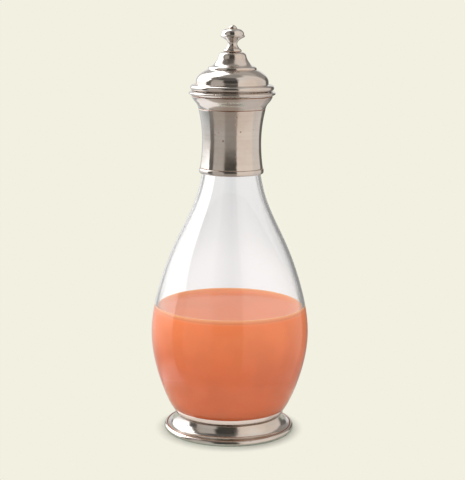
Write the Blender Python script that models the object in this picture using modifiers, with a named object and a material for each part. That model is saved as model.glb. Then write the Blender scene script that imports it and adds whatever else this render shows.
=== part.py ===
"""Blown glass carafe on a turned pewter foot, with a pewter collar and a lid that lifts off.

Units are metres, +Z is up, and the origin is the centre of the ring that the carafe stands on.
Each piece is turned about its own axis in its own frame, with its bottom at its local zero, and is
then placed by its location: the glass stands on the foot's shelf, the collar hangs on the rim of
the glass, the lid sits on the collar's lip and the finial stands on the lid.
"""
import math

import bmesh
import bpy
import numpy as np
from mathutils import Vector

# Facets round every turned piece, and round the finial and its fasteners
FACETS = 36
SMALL_FACETS = 20

# Clearances
SEAT_GAP = 0.0003
FLANGE_CLEARANCE = 0.0004

# Foot: a shelf for the glass, a thin rim round its heel, a hollow flare and a spread lip
FOOT_SHELF_HEIGHT = 0.0077
FOOT_SHELF_THICKNESS = 0.0013
FOOT_SHELF_WIDTH = 0.0075
FOOT_RIM_WALL = 0.0004
FOOT_RIM_BEAD_HEIGHT = 0.0014
FOOT_RIM_BEAD_STAND = 0.0002
FOOT_WALL = 0.0015
FOOT_SPREAD = 0.0082
FOOT_FLARE_POWER = 2.9
FOOT_LIP_HEIGHT = 0.0029
FOOT_LIP_WIDTH = 0.0025
FOOT_LIP_EDGE_HEIGHT = 0.0012
FOOT_RING_WIDTH = 0.0026

# Setting compound
BEDDING_THICKNESS = 0.0006
COLLAR_SEAL_HEIGHT = 0.0022
COLLAR_BEDDING_TOP_GAP = 0.0025

# Glass, body rings: heights above its own base
KICK_HEIGHT = 0.0026
SEAT_INNER_RADIUS = 0.0250
SEAT_OUTER_RADIUS = 0.0330
HEEL_RADIUS = 0.0390
HEEL_HEIGHT = 0.0040
LOWER_BODY_RADIUS = 0.0487
LOWER_BODY_HEIGHT = 0.0220
BELLY_RADIUS = 0.0574
BELLY_HEIGHT = 0.0632
UPPER_BODY_RADIUS = 0.0523
UPPER_BODY_HEIGHT = 0.0960

# Glass, neck rings: drops below its rim
SHOULDER_RADIUS = 0.0410
SHOULDER_DROP = 0.0999
THROAT_RADIUS = 0.0288
THROAT_DROP = 0.0739
NECK_ROOT_RADIUS = 0.0243
NECK_ROOT_DROP = 0.0619
NECK_SKIRT_RADIUS = 0.0213
NECK_SKIRT_DROP = 0.0489
NECK_RADIUS = 0.0187
NECK_STRAIGHT_DROP = 0.0259
GLASS_HEIGHT = 0.2279

# Glass, inside
GLASS_WALL = 0.0020
BASE_THICKNESS = 0.0088
FLOOR_RISE = 0.0013
FLOOR_RADIUS = 0.0280
INNER_HEEL_WALL = 0.0034
INNER_HEEL_RISE = 0.0040
INNER_WALL_RISE = 0.0150

# Collar: heights above its own bottom edge
COLLAR_BORE_DEPTH = 0.0471
COLLAR_WALL = 0.0013
COLLAR_SKIRT_WALL = 0.0021
SKIRT_BEAD_HEIGHT = 0.0037
SKIRT_BEAD_STAND = 0.0006
SKIRT_BEAD_ROUND = 0.0006
WAIST_HEIGHT = 0.0226
CUP_NECK_SPREAD = 0.0029
CUP_GROOVE_HEIGHT = 0.0462
CUP_SPREAD = 0.0049
CUP_HEIGHT = 0.0549
CUP_SHOULDER_SET_IN = 0.0014
CUP_SHOULDER_DROP = 0.0027
CUP_THROAT_STAND = 0.0009
CUP_THROAT_RISE = 0.0024
GROOVE_DEPTH = 0.0004
GROOVE_WIDTH = 0.0007
LIP_HEIGHT = 0.0588
LIP_STAND = 0.0020
LIP_EDGE_DROP = 0.0016
LIP_EDGE_ROUND = 0.0009
LIP_BEVEL = 0.0017

# Collar, inside: the bore's ledge over the glass, the funnel and the mouth
LEDGE_WIDTH = 0.0012
LEDGE_THICKNESS = 0.0012
FUNNEL_EASE = 0.0006
MOUTH_WALL = 0.0032

# Lid: heights above the underside of its rim
LID_RIM_SET_IN = 0.0011
LID_RIM_BEAD_HEIGHT = 0.0041
LID_RIM_LAND = 0.0005
DOME_SET_IN = 0.0040
DOME_FOOT_HEIGHT = 0.0062
DOME_SHOULDER_SHARE = 0.87
DOME_SHOULDER_HEIGHT = 0.0096
DOME_SLOPE_SHARE = 0.50
DOME_SLOPE_HEIGHT = 0.0127
STEP_RADIUS = 0.0173
STEP_BASE_HEIGHT = 0.0149
STEP_WIDTH = 0.0022
STEP_LAND_HEIGHT = 0.0007
STEP_ROUND_HEIGHT = 0.0016
BELL_RADIUS = 0.0101
BELL_HEIGHT = 0.0234
BELL_FLARE = 0.0018
BELL_FLARE_DROP = 0.0032
CROWN_RADIUS = 0.0074
CROWN_EDGE_SET_IN = 0.0008
CROWN_EDGE_DROP = 0.0012
LID_HEIGHT = 0.0269
LID_WALL = 0.0017
CROWN_THICKNESS = 0.0017
CROWN_INSIDE_RADIUS = 0.0060

# Flange inside the lid
FLANGE_DEPTH = 0.0056
FLANGE_SOCKET_DEPTH = 0.0027
FLANGE_WALL = 0.0014
FLANGE_EDGE = 0.0005
SOCKET_LAND = 0.0012

# Finial: heights above its own base
FINIAL_BASE_RADIUS = 0.0065
FINIAL_BASE_HEIGHT = 0.0021
FINIAL_BASE_SET_IN = 0.0002
FINIAL_NECK_RADIUS = 0.0031
FINIAL_NECK_HEIGHT = 0.0060
BUN_RADIUS = 0.0089
BUN_HEIGHT = 0.0112
BUN_EDGE_STAND = 0.0008
BUN_EDGE_HEIGHT = 0.0009
BUN_TOP_RADIUS = 0.0045
BUN_TOP_HEIGHT = 0.0161
BUTTON_RADIUS = 0.0030
FINIAL_HEIGHT = 0.0189

# Finial, where its curves pass between the radii and heights above: shares out and up
BUN_SHOULDER_OUT = 0.85
BUN_SHOULDER_UP = 0.62
STEM_HOLLOW_OUT = 0.24
STEM_HOLLOW_UP = 0.40
STEM_SWELL_OUT = 0.30
STEM_SWELL_UP = 0.36
STEM_FOOT_OUT = 0.78

# Stud, washer and nut
STUD_RADIUS = 0.0020
STUD_LENGTH = 0.0078
STUD_CHAMFER = 0.0003
WASHER_RADIUS = 0.0046
WASHER_THICKNESS = 0.0008
NUT_ACROSS_FLATS = 0.0070
NUT_THICKNESS = 0.0032
NUT_CHAMFER = 0.0003
BORE_OVERRUN = 0.0010

# Colours of the materials
PEWTER_COLOUR = (0.60, 0.565, 0.53)
GLASS_COLOUR = (0.93, 0.95, 0.94)
COMPOUND_COLOUR = (0.62, 0.58, 0.50)
STEEL_COLOUR = (0.55, 0.55, 0.56)


def arc(centre, radii, start, end, steps):
    """Points of an elliptical arc about a centre, from one angle in degrees to another."""
    angles = np.radians(np.linspace(start, end, steps + 1))
    return [(centre[0] + radii[0] * math.cos(a), centre[1] + radii[1] * math.sin(a)) for a in angles]


def mix(first, second, share):
    """The value that lies at a share of the way from the first to the second."""
    return first + (second - first) * share


def curve_through(stations, steps, start=None, end=None):
    """Points of the cubic spline through stations, with so many steps from each one to the next.

    steps is one number for all spans or a list with one for each. start and end are directions
    that the curve leaves and arrives in. Where one is None, the curve has no bend at that end.
    """
    knots = np.array(stations, float)
    spans = np.linalg.norm(np.diff(knots, axis=0), axis=1)
    count = len(knots)
    pieces = [steps] * (count - 1) if isinstance(steps, int) else steps
    system = np.zeros((count, count))
    right = np.zeros((count, 2))
    for i in range(1, count - 1):
        system[i, i - 1] = spans[i]
        system[i, i] = 2 * (spans[i - 1] + spans[i])
        system[i, i + 1] = spans[i - 1]
        secant_in = (knots[i] - knots[i - 1]) / spans[i - 1]
        secant_out = (knots[i + 1] - knots[i]) / spans[i]
        right[i] = 3 * (spans[i] * secant_in + spans[i - 1] * secant_out)
    for row, near, direction in ((0, 1, start), (-1, -2, end)):
        if direction is not None:
            system[row, row] = 1
            right[row] = np.array(direction, float) / np.linalg.norm(direction)
            continue
        system[row, row] = 2
        system[row, near] = 1
        secant = knots[1] - knots[0] if row == 0 else knots[-1] - knots[-2]
        right[row] = 3 * secant / spans[row]
    slopes = np.linalg.solve(system, right)
    points = [tuple(knots[0])]
    for i in range(count - 1):
        for k in range(1, pieces[i] + 1):
            t = k / pieces[i]
            point = ((1 + 2 * t) * (1 - t) ** 2 * knots[i] + t * (1 - t) ** 2 * spans[i] * slopes[i]
                     + t * t * (3 - 2 * t) * knots[i + 1] + t * t * (t - 1) * spans[i] * slopes[i + 1])
            points.append(tuple(point))
    return points


def offset(points, distance):
    """The outline moved sideways by distance, to the right of the way that it runs."""
    path = np.array(points, float)
    along = np.gradient(path, axis=0)
    along /= np.linalg.norm(along, axis=1)[:, None]
    across = np.stack([along[:, 1], -along[:, 0]], axis=1)
    return [tuple(p) for p in path + distance * across]


def between(points, low, high):
    """The part of an outline whose heights lie between low and high."""
    return [p for p in points if low < p[1] < high]


def radius_at(points, height):
    """The radius of a rising outline at a height."""
    return float(np.interp(height, [p[1] for p in points], [p[0] for p in points]))


def raised(points, rise):
    """The outline moved up by rise."""
    return [(r, z + rise) for r, z in points]


def glass_side():
    """Outer side of the glass, from its seat up to its rim, heights above its base."""
    rings = [
        (SEAT_OUTER_RADIUS, 0.0),
        (HEEL_RADIUS, HEEL_HEIGHT),
        (LOWER_BODY_RADIUS, LOWER_BODY_HEIGHT),
        (BELLY_RADIUS, BELLY_HEIGHT),
        (UPPER_BODY_RADIUS, UPPER_BODY_HEIGHT),
        (SHOULDER_RADIUS, GLASS_HEIGHT - SHOULDER_DROP),
        (THROAT_RADIUS, GLASS_HEIGHT - THROAT_DROP),
        (NECK_ROOT_RADIUS, GLASS_HEIGHT - NECK_ROOT_DROP),
        (NECK_SKIRT_RADIUS, GLASS_HEIGHT - NECK_SKIRT_DROP),
        (NECK_RADIUS, GLASS_HEIGHT - NECK_STRAIGHT_DROP),
    ]
    side = curve_through(rings, [2, 2, 5, 3, 3, 2, 1, 1, 3], start=(1, 0), end=(0, 1))
    return side + [(NECK_RADIUS, GLASS_HEIGHT)]


def glass_outline():
    """Glass from the middle of its inner floor, up the inside, over the rim and down outside."""
    side = glass_side()
    floor = BASE_THICKNESS
    heel = floor + INNER_HEEL_RISE
    inside = between(offset(side, -GLASS_WALL), floor + INNER_WALL_RISE, GLASS_HEIGHT)
    floor_curve = curve_through([(FLOOR_RADIUS, floor), (radius_at(side, heel) - INNER_HEEL_WALL, heel),
                                 inside[0]], 2, start=(1, 0), end=np.subtract(inside[1], inside[0]))
    rim_round = GLASS_WALL / 2
    rim = arc((NECK_RADIUS - rim_round, GLASS_HEIGHT - rim_round), (rim_round, rim_round), 180, 0, 4)
    outside = between(side, 0.0, GLASS_HEIGHT - GLASS_WALL)
    seat = [(SEAT_OUTER_RADIUS, 0.0)]
    underside = curve_through([(SEAT_INNER_RADIUS, 0.0), (0.0, KICK_HEIGHT)], 3,
                              start=(-1, 0.4), end=(-1, 0))
    middle = [(0.0, floor + FLOOR_RISE)]
    return middle + floor_curve[:-1] + inside + rim + outside[::-1] + seat + underside


def glass_base_height():
    """Height of the glass's base above the floor: on the shelf, with the bedding between."""
    return FOOT_SHELF_HEIGHT + SEAT_GAP + BEDDING_THICKNESS + SEAT_GAP


def foot_outline():
    """Ring section of the foot, from the rim's inner edge down the outside and back up inside."""
    heel = [p for p in glass_side() if p[1] <= HEEL_HEIGHT]
    pocket = raised(offset(heel, SEAT_GAP), glass_base_height())
    bore, top = pocket[-1]
    waist = bore + FOOT_RIM_WALL
    lip = waist + FOOT_SPREAD
    groove = lip - FOOT_LIP_WIDTH

    bead_width = FOOT_RIM_WALL + FOOT_RIM_BEAD_STAND
    bead = arc((waist + FOOT_RIM_BEAD_STAND - bead_width / 2, top - FOOT_RIM_BEAD_HEIGHT / 2),
               (bead_width / 2, FOOT_RIM_BEAD_HEIGHT / 2), 90, -45, 3)
    flare_top = top - FOOT_RIM_BEAD_HEIGHT
    flare = [(mix(waist, groove, s ** FOOT_FLARE_POWER), mix(flare_top, FOOT_LIP_HEIGHT, s))
             for s in np.linspace(0, 1, 8)]
    notch = [(groove + GROOVE_WIDTH / 2, FOOT_LIP_HEIGHT - GROOVE_DEPTH)]
    lip_round = FOOT_LIP_WIDTH - GROOVE_WIDTH
    edge = arc((lip - lip_round, FOOT_LIP_EDGE_HEIGHT),
               (lip_round, FOOT_LIP_HEIGHT - FOOT_LIP_EDGE_HEIGHT), 90, 0, 4)
    ring = [(lip - FOOT_LIP_EDGE_HEIGHT / 2, 0.0), (lip - FOOT_RING_WIDTH, 0.0)]

    shelf_bottom = FOOT_SHELF_HEIGHT - FOOT_SHELF_THICKNESS
    hollow = between(offset(flare, FOOT_WALL)[::-1], FOOT_LIP_EDGE_HEIGHT, shelf_bottom - SEAT_GAP)
    shelf_outer = SEAT_OUTER_RADIUS + BEDDING_THICKNESS
    shelf_inner = shelf_outer - FOOT_SHELF_WIDTH
    shelf = [(radius_at(hollow, shelf_bottom) - FOOT_WALL, shelf_bottom), (shelf_inner, shelf_bottom),
             (shelf_inner, FOOT_SHELF_HEIGHT), (shelf_outer, FOOT_SHELF_HEIGHT)]
    wall = [p for p in pocket[:-1] if p[0] > shelf_outer]
    return bead + flare + notch + edge + ring + hollow + shelf + wall


def foot_bedding_outline():
    """Flat ring of compound between the shelf and the seat of the glass."""
    outer = SEAT_OUTER_RADIUS
    inner = SEAT_OUTER_RADIUS + BEDDING_THICKNESS - FOOT_SHELF_WIDTH + SEAT_GAP
    return [(inner, BEDDING_THICKNESS), (outer, BEDDING_THICKNESS), (outer, 0.0), (inner, 0.0)]


def neck_radius(height):
    """Outer radius of the glass at a height above the collar's bottom edge."""
    return radius_at(glass_side(), height + GLASS_HEIGHT + SEAT_GAP - COLLAR_BORE_DEPTH)


def round_the_neck(clearance, low, high, steps):
    """Outline that stays clear of the neck by clearance, from low to high in the collar."""
    return [(neck_radius(h) + clearance, h) for h in np.linspace(low, high, steps + 1)]


def collar_bedding_outline():
    """Thin sleeve of compound between the neck and the collar, heights as in the collar."""
    low = COLLAR_SEAL_HEIGHT + SEAT_GAP
    high = COLLAR_BORE_DEPTH - COLLAR_BEDDING_TOP_GAP
    inner = round_the_neck(SEAT_GAP, low, high, 4)
    outer = round_the_neck(SEAT_GAP + BEDDING_THICKNESS, low, high, 4)
    return outer[::-1] + inner


def waist_radius():
    """Outer radius of the collar at its waist."""
    return NECK_RADIUS + 2 * SEAT_GAP + BEDDING_THICKNESS + COLLAR_WALL


def skirt_radius():
    """Outer radius of the collar's sleeve just above its bottom bead."""
    return neck_radius(SKIRT_BEAD_HEIGHT) + SEAT_GAP + COLLAR_SKIRT_WALL


def sleeve_radius(height):
    """Outer radius of the waisted sleeve, which widens as a parabola both ways from its waist."""
    if height > WAIST_HEIGHT:
        reach = (height - WAIST_HEIGHT) / (CUP_GROOVE_HEIGHT - WAIST_HEIGHT)
        return waist_radius() + CUP_NECK_SPREAD * reach ** 2
    reach = (WAIST_HEIGHT - height) / (WAIST_HEIGHT - SKIRT_BEAD_HEIGHT)
    return mix(waist_radius(), skirt_radius(), reach ** 2)


def cup_radius():
    """Outer radius of the collar's cup, just under its lip."""
    return waist_radius() + CUP_NECK_SPREAD + CUP_SPREAD


def mouth_radius():
    """Radius of the straight bore in the collar's lip that the lid's flange drops into."""
    return cup_radius() - MOUTH_WALL


def collar_outline():
    """Ring section of the collar, from the lip's top down the outside and back up the bore."""
    cup = cup_radius()
    lip = cup + LIP_STAND
    mouth = mouth_radius()
    cup_neck = waist_radius() + CUP_NECK_SPREAD

    lip_top = [(mouth, LIP_HEIGHT), (lip - LIP_BEVEL, LIP_HEIGHT)]
    lip_edge = arc((lip - LIP_EDGE_ROUND, LIP_HEIGHT - LIP_EDGE_DROP), (LIP_EDGE_ROUND, LIP_EDGE_ROUND),
                   60, -45, 3)
    lip_groove = [(cup - GROOVE_DEPTH, CUP_HEIGHT + GROOVE_WIDTH / 2)]
    cup_bottom = CUP_GROOVE_HEIGHT + GROOVE_WIDTH / 2
    cup_side = curve_through([(cup, CUP_HEIGHT),
                              (cup - CUP_SHOULDER_SET_IN, CUP_HEIGHT - CUP_SHOULDER_DROP),
                              (cup_neck + CUP_THROAT_STAND, cup_bottom + CUP_THROAT_RISE),
                              (cup_neck, cup_bottom)], 2, start=(-0.35, -1), end=(-0.25, -1))
    cup_groove = [(cup_neck - GROOVE_DEPTH, CUP_GROOVE_HEIGHT)]
    sleeve_ends = (CUP_GROOVE_HEIGHT - GROOVE_WIDTH / 2, SKIRT_BEAD_HEIGHT + GROOVE_WIDTH / 2)
    sleeve = [(sleeve_radius(h), h) for h in np.linspace(*sleeve_ends, 9)]
    skirt_groove = [(skirt_radius() - GROOVE_DEPTH / 2, SKIRT_BEAD_HEIGHT)]
    bead = skirt_radius() + SKIRT_BEAD_STAND
    bead_round = (SKIRT_BEAD_ROUND, SKIRT_BEAD_HEIGHT / 2)
    skirt_bead = arc((bead - SKIRT_BEAD_ROUND, SKIRT_BEAD_HEIGHT / 2), bead_round, 60, -60, 4)
    skirt_edge = [(bead - SKIRT_BEAD_ROUND, 0.0)]

    seal = round_the_neck(SEAT_GAP, 0.0, COLLAR_SEAL_HEIGHT, 1)
    bore = round_the_neck(2 * SEAT_GAP + BEDDING_THICKNESS, COLLAR_SEAL_HEIGHT, COLLAR_BORE_DEPTH, 4)
    ledge = NECK_RADIUS - LEDGE_WIDTH
    ledge_top = COLLAR_BORE_DEPTH + LEDGE_THICKNESS
    ledge_edge = [(ledge, COLLAR_BORE_DEPTH), (ledge, ledge_top - FUNNEL_EASE)]
    mouth_floor = LIP_HEIGHT - FLANGE_DEPTH - FLANGE_CLEARANCE
    funnel = curve_through([(ledge + FUNNEL_EASE, ledge_top), (mouth, mouth_floor)], 4,
                           start=(1, 0.25), end=(0.5, 1))
    return (lip_top + lip_edge + lip_groove + cup_side + cup_groove + sleeve + skirt_groove + skirt_bead
            + skirt_edge + seal + bore + ledge_edge + funnel)


def dome_outside():
    """Outer side of the lid in four stretches: the bell, the step, the dome and the rim bead."""
    rim = cup_radius() + LIP_STAND - LID_RIM_SET_IN
    foot = rim - DOME_SET_IN
    step_top = (STEP_RADIUS - STEP_WIDTH, STEP_BASE_HEIGHT + STEP_LAND_HEIGHT + STEP_ROUND_HEIGHT)
    bell = curve_through([(CROWN_RADIUS, LID_HEIGHT),
                          (BELL_RADIUS - CROWN_EDGE_SET_IN, LID_HEIGHT - CROWN_EDGE_DROP),
                          (BELL_RADIUS, BELL_HEIGHT),
                          (BELL_RADIUS + BELL_FLARE, BELL_HEIGHT - BELL_FLARE_DROP),
                          step_top], 2, start=(1, -0.1), end=(1, -0.35))
    step = arc((step_top[0], STEP_BASE_HEIGHT + STEP_LAND_HEIGHT), (STEP_WIDTH, STEP_ROUND_HEIGHT), 60, 0, 2)
    dome = curve_through([(STEP_RADIUS, STEP_BASE_HEIGHT),
                          (mix(STEP_RADIUS, foot, DOME_SLOPE_SHARE), DOME_SLOPE_HEIGHT),
                          (mix(STEP_RADIUS, foot, DOME_SHOULDER_SHARE), DOME_SHOULDER_HEIGHT),
                          (foot, DOME_FOOT_HEIGHT)], 2, start=(1, -0.4), end=(0, -1))
    groove = [(foot, LID_RIM_BEAD_HEIGHT + GROOVE_WIDTH / 2)]
    bead_round = LID_RIM_BEAD_HEIGHT / 2
    bead = arc((rim - bead_round, bead_round), (bead_round, bead_round), 100, -50, 5)
    return bell, step, dome + groove, bead


def flange_radius():
    """Outer radius of the locating flange."""
    return mouth_radius() - FLANGE_CLEARANCE


def lid_dome_outline():
    """Ring section of the lid, from the crown's hole down the outside and back up inside."""
    hole = STUD_RADIUS + SEAT_GAP
    socket = flange_radius() + SEAT_GAP
    bell, step, dome, bead = dome_outside()
    underside = [(bead[-1][0] - LID_RIM_LAND, 0.0)]
    outside = [(hole, LID_HEIGHT)] + bell + step + dome + bead + underside
    land = min(socket - SOCKET_LAND, dome[-1][0] - LID_WALL)
    crown_inside = LID_HEIGHT - CROWN_THICKNESS
    inside = [(socket, 0.0), (socket, FLANGE_SOCKET_DEPTH), (land, FLANGE_SOCKET_DEPTH)]
    inside += [p for p in offset(dome, LID_WALL)[-3::-1] if p[0] < land]
    inside += [p for p in offset(bell, LID_WALL)[::-1]
               if CROWN_INSIDE_RADIUS < p[0] < inside[-1][0] - LID_WALL / 2 and p[1] < crown_inside - SEAT_GAP]
    inside += [(CROWN_INSIDE_RADIUS, crown_inside), (hole, crown_inside)]
    return outside + inside


def flange_outline():
    """Ring section of the flange, heights above the underside of the lid's rim."""
    outer = flange_radius()
    inner = outer - FLANGE_WALL
    top = FLANGE_SOCKET_DEPTH - SEAT_GAP
    bottom = SEAT_GAP - FLANGE_DEPTH
    return [(inner, top), (outer, top), (outer, bottom + FLANGE_EDGE), (outer - FLANGE_EDGE, bottom),
            (inner + FLANGE_EDGE, bottom), (inner, bottom + FLANGE_EDGE)]


def finial_outline():
    """Finial from the tip of its button down to its base, and down its stud to the end."""
    body = BUN_RADIUS - BUN_EDGE_STAND
    button = curve_through([(0.0, FINIAL_HEIGHT), (BUTTON_RADIUS, BUN_TOP_HEIGHT + SEAT_GAP)], 4,
                           start=(1, 0), end=(0.1, -1))
    shoulder = (mix(BUN_TOP_RADIUS, body, BUN_SHOULDER_OUT),
                mix(BUN_HEIGHT, BUN_TOP_HEIGHT, BUN_SHOULDER_UP))
    bun = curve_through([(BUN_TOP_RADIUS, BUN_TOP_HEIGHT), shoulder, (body, BUN_HEIGHT + BUN_EDGE_HEIGHT)], 2,
                        start=(1, -0.15), end=(0, -1))
    edge = [(BUN_RADIUS, BUN_HEIGHT)]
    hollow = (mix(FINIAL_NECK_RADIUS, body, STEM_HOLLOW_OUT),
              mix(FINIAL_NECK_HEIGHT, BUN_HEIGHT, STEM_HOLLOW_UP))
    swell = (mix(FINIAL_NECK_RADIUS, FINIAL_BASE_RADIUS, STEM_SWELL_OUT),
             mix(FINIAL_BASE_HEIGHT, FINIAL_NECK_HEIGHT, STEM_SWELL_UP))
    stem_foot = (mix(FINIAL_NECK_RADIUS, FINIAL_BASE_RADIUS, STEM_FOOT_OUT), FINIAL_BASE_HEIGHT)
    neck = (FINIAL_NECK_RADIUS, FINIAL_NECK_HEIGHT)
    stem = curve_through([(body, BUN_HEIGHT - BUN_EDGE_HEIGHT), hollow, neck, swell, stem_foot], 2,
                         start=(-1, -0.5), end=(1, -0.6))
    base = [(FINIAL_BASE_RADIUS, FINIAL_BASE_HEIGHT / 2), (FINIAL_BASE_RADIUS - FINIAL_BASE_SET_IN, 0.0)]
    stud = [(STUD_RADIUS, 0.0), (STUD_RADIUS, STUD_CHAMFER - STUD_LENGTH),
            (STUD_RADIUS - STUD_CHAMFER, -STUD_LENGTH), (0.0, -STUD_LENGTH)]
    return button + bun + edge + stem + base + stud


def washer_outline():
    """Ring section of the washer, heights above its own underside."""
    hole = STUD_RADIUS + SEAT_GAP
    return [(hole, WASHER_THICKNESS), (WASHER_RADIUS, WASHER_THICKNESS), (WASHER_RADIUS, 0.0), (hole, 0.0)]


def material(name, colour, roughness, metallic, transmission=0.0):
    """A Principled material in one colour."""
    made = bpy.data.materials.new(name)
    made.use_nodes = True
    shader = made.node_tree.nodes["Principled BSDF"]
    shader.inputs["Base Color"].default_value = (*colour, 1.0)
    shader.inputs["Roughness"].default_value = roughness
    shader.inputs["Metallic"].default_value = metallic
    shader.inputs["Transmission Weight"].default_value = transmission
    made.diffuse_color = (*colour, 1.0)
    return made


def pewter(name):
    """Bright worn pewter."""
    return material(name, PEWTER_COLOUR, 0.26, 1.0)


def compound(name):
    """Dull setting compound."""
    return material(name, COMPOUND_COLOUR, 0.85, 0.0)


def steel(name):
    """Plain steel of a washer or a nut."""
    return material(name, STEEL_COLOUR, 0.35, 1.0)


def turned(name, outline, closed, finish, collection, parent, height, facets=FACETS):
    """A solid turned about Z from its outline, which is a ring section where closed is true."""
    mesh = bpy.data.meshes.new(name)
    count = len(outline)
    links = [(i, i + 1) for i in range(count - 1)]
    if closed:
        links.append((count - 1, 0))
    mesh.from_pydata([(r, 0.0, z) for r, z in outline], links, [])
    piece = bpy.data.objects.new(name, mesh)
    piece.data.materials.append(finish)
    collection.objects.link(piece)
    piece.parent = parent
    piece.location = (0.0, 0.0, height)
    lathe = piece.modifiers.new("Lathe", "SCREW")
    lathe.axis = "Z"
    lathe.angle = math.tau
    lathe.steps = facets
    lathe.render_steps = facets
    lathe.use_merge_vertices = True
    lathe.merge_threshold = 0.00001
    lathe.use_smooth_shade = True
    return piece


def prism(name, sides, radius, height):
    """Mesh of an upright prism with so many sides, standing on its underside."""
    mesh = bpy.data.meshes.new(name)
    shape = bmesh.new()
    bmesh.ops.create_cone(shape, cap_ends=True, segments=sides, radius1=radius, radius2=radius, depth=height)
    bmesh.ops.translate(shape, verts=shape.verts, vec=Vector((0, 0, height / 2)))
    shape.to_mesh(mesh)
    shape.free()
    return mesh


def hex_nut(name, collection, cutters, parent, height):
    """Chamfered hexagon nut with a plain bore, standing on its underside."""
    nut = bpy.data.objects.new(name, prism(name, 6, NUT_ACROSS_FLATS / math.sqrt(3), NUT_THICKNESS))
    nut.data.materials.append(steel("nut_steel"))
    collection.objects.link(nut)
    nut.parent = parent
    nut.location = (0.0, 0.0, height)
    chamfer = nut.modifiers.new("Chamfer", "BEVEL")
    chamfer.width = NUT_CHAMFER
    chamfer.segments = 1
    chamfer.limit_method = "ANGLE"
    chamfer.angle_limit = math.radians(80)

    bore_length = NUT_THICKNESS + 2 * BORE_OVERRUN
    bore_mesh = prism("nut_bore", SMALL_FACETS, STUD_RADIUS + SEAT_GAP, bore_length)
    bore = bpy.data.objects.new("nut_bore", bore_mesh)
    bore.hide_render = True
    bore.display_type = "WIRE"
    cutters.objects.link(bore)
    bore.parent = nut
    bore.location = (0.0, 0.0, -BORE_OVERRUN)
    cut = nut.modifiers.new("Bore", "BOOLEAN")
    cut.operation = "DIFFERENCE"
    cut.solver = "EXACT"
    cut.object = bore
    return nut


def axis_marker(name, height, collection, parent=None):
    """An empty on the Z axis."""
    marker = bpy.data.objects.new(name, None)
    marker.empty_display_size = LID_HEIGHT
    marker.parent = parent
    marker.location = (0.0, 0.0, height)
    collection.objects.link(marker)
    return marker


def clear_scene():
    """Removes every object and collection of the open file."""
    for thing in list(bpy.data.objects):
        bpy.data.objects.remove(thing, do_unlink=True)
    for group in list(bpy.data.collections):
        bpy.data.collections.remove(group)


def build():
    """Builds the carafe in its collection."""
    clear_scene()
    collection = bpy.data.collections.new("carafe")
    cutters = bpy.data.collections.new("cutters")
    for group in (collection, cutters):
        bpy.context.scene.collection.children.link(group)

    glass_base = glass_base_height()
    collar_base = glass_base + GLASS_HEIGHT + SEAT_GAP - COLLAR_BORE_DEPTH
    lid_base = collar_base + LIP_HEIGHT + SEAT_GAP
    finial_base = LID_HEIGHT + SEAT_GAP
    washer_base = LID_HEIGHT - CROWN_THICKNESS - SEAT_GAP - WASHER_THICKNESS
    nut_base = washer_base - SEAT_GAP - NUT_THICKNESS

    body = axis_marker("carafe_axis", 0.0, collection)
    lid = axis_marker("lid_axis", lid_base, collection, body)

    turned("foot", foot_outline(), True, pewter("foot_pewter"), collection, body, 0.0)
    turned("foot_bedding", foot_bedding_outline(), True, compound("foot_compound"), collection, body,
           FOOT_SHELF_HEIGHT + SEAT_GAP)
    turned("glass_vessel", glass_outline(), False, material("clear_glass", GLASS_COLOUR, 0.02, 0.0, 1.0),
           collection, body, glass_base)
    turned("neck_collar", collar_outline(), True, pewter("collar_pewter"), collection, body, collar_base)
    turned("collar_bedding", collar_bedding_outline(), True, compound("collar_compound"), collection, body,
           collar_base)
    turned("lid_dome", lid_dome_outline(), True, pewter("lid_pewter"), collection, lid, 0.0)
    turned("lid_flange", flange_outline(), True, pewter("flange_pewter"), collection, lid, 0.0)
    turned("finial", finial_outline(), False, pewter("finial_pewter"), collection, lid, finial_base,
           SMALL_FACETS)
    turned("finial_washer", washer_outline(), True, steel("washer_steel"), collection, lid, washer_base,
           SMALL_FACETS)
    hex_nut("finial_nut", collection, cutters, lid, nut_base)


build()
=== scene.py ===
"""Looks of a blown glass carafe in turned pewter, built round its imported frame.

The carafe stands on the table at height zero, with its axis on Z, and holds a drink. Each piece is
turned on a lathe from a section of radii and heights, in metres, and stands where its solid stands.
"""
import logging
import math
from collections.abc import Iterable, Sequence
from dataclasses import dataclass, field
from enum import Enum
from typing import ClassVar

import bpy
import numpy as np
from mathutils import Matrix, Vector


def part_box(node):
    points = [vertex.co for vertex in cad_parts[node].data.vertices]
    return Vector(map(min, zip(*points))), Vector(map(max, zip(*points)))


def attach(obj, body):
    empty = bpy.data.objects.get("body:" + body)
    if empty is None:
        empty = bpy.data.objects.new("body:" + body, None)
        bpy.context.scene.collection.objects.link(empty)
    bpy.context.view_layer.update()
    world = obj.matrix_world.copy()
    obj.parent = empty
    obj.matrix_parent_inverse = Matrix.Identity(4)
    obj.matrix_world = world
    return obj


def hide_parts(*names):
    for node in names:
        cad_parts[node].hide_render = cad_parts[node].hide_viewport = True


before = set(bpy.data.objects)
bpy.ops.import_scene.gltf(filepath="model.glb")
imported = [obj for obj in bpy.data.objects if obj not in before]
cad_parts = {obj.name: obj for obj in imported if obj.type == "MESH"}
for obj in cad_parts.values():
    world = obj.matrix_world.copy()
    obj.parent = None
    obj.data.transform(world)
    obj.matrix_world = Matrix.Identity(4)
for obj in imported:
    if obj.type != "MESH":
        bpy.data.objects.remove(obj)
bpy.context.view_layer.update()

Point = tuple[float, float]
Triple = tuple[float, float, float]
Colour = Triple
Row = tuple[float, float, float, float, float]
Piece = bpy.types.Object
Look = bpy.types.Material
Tree = bpy.types.NodeTree
Node = bpy.types.Node
Socket = bpy.types.NodeSocket

CREVICE = "crevice"
# Attribute that masks where the juice is painted paler as painted light.
PAINTED_FILM_LIGHT = "film"

MERGE_DISTANCE = 0.000002
SMOOTH_ANGLE = 38.0
SHARP_TURN = 14.0
EASED_SHARE = 0.45
SPACING = 0.0006
FINE_SPACING = 0.0003

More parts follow.
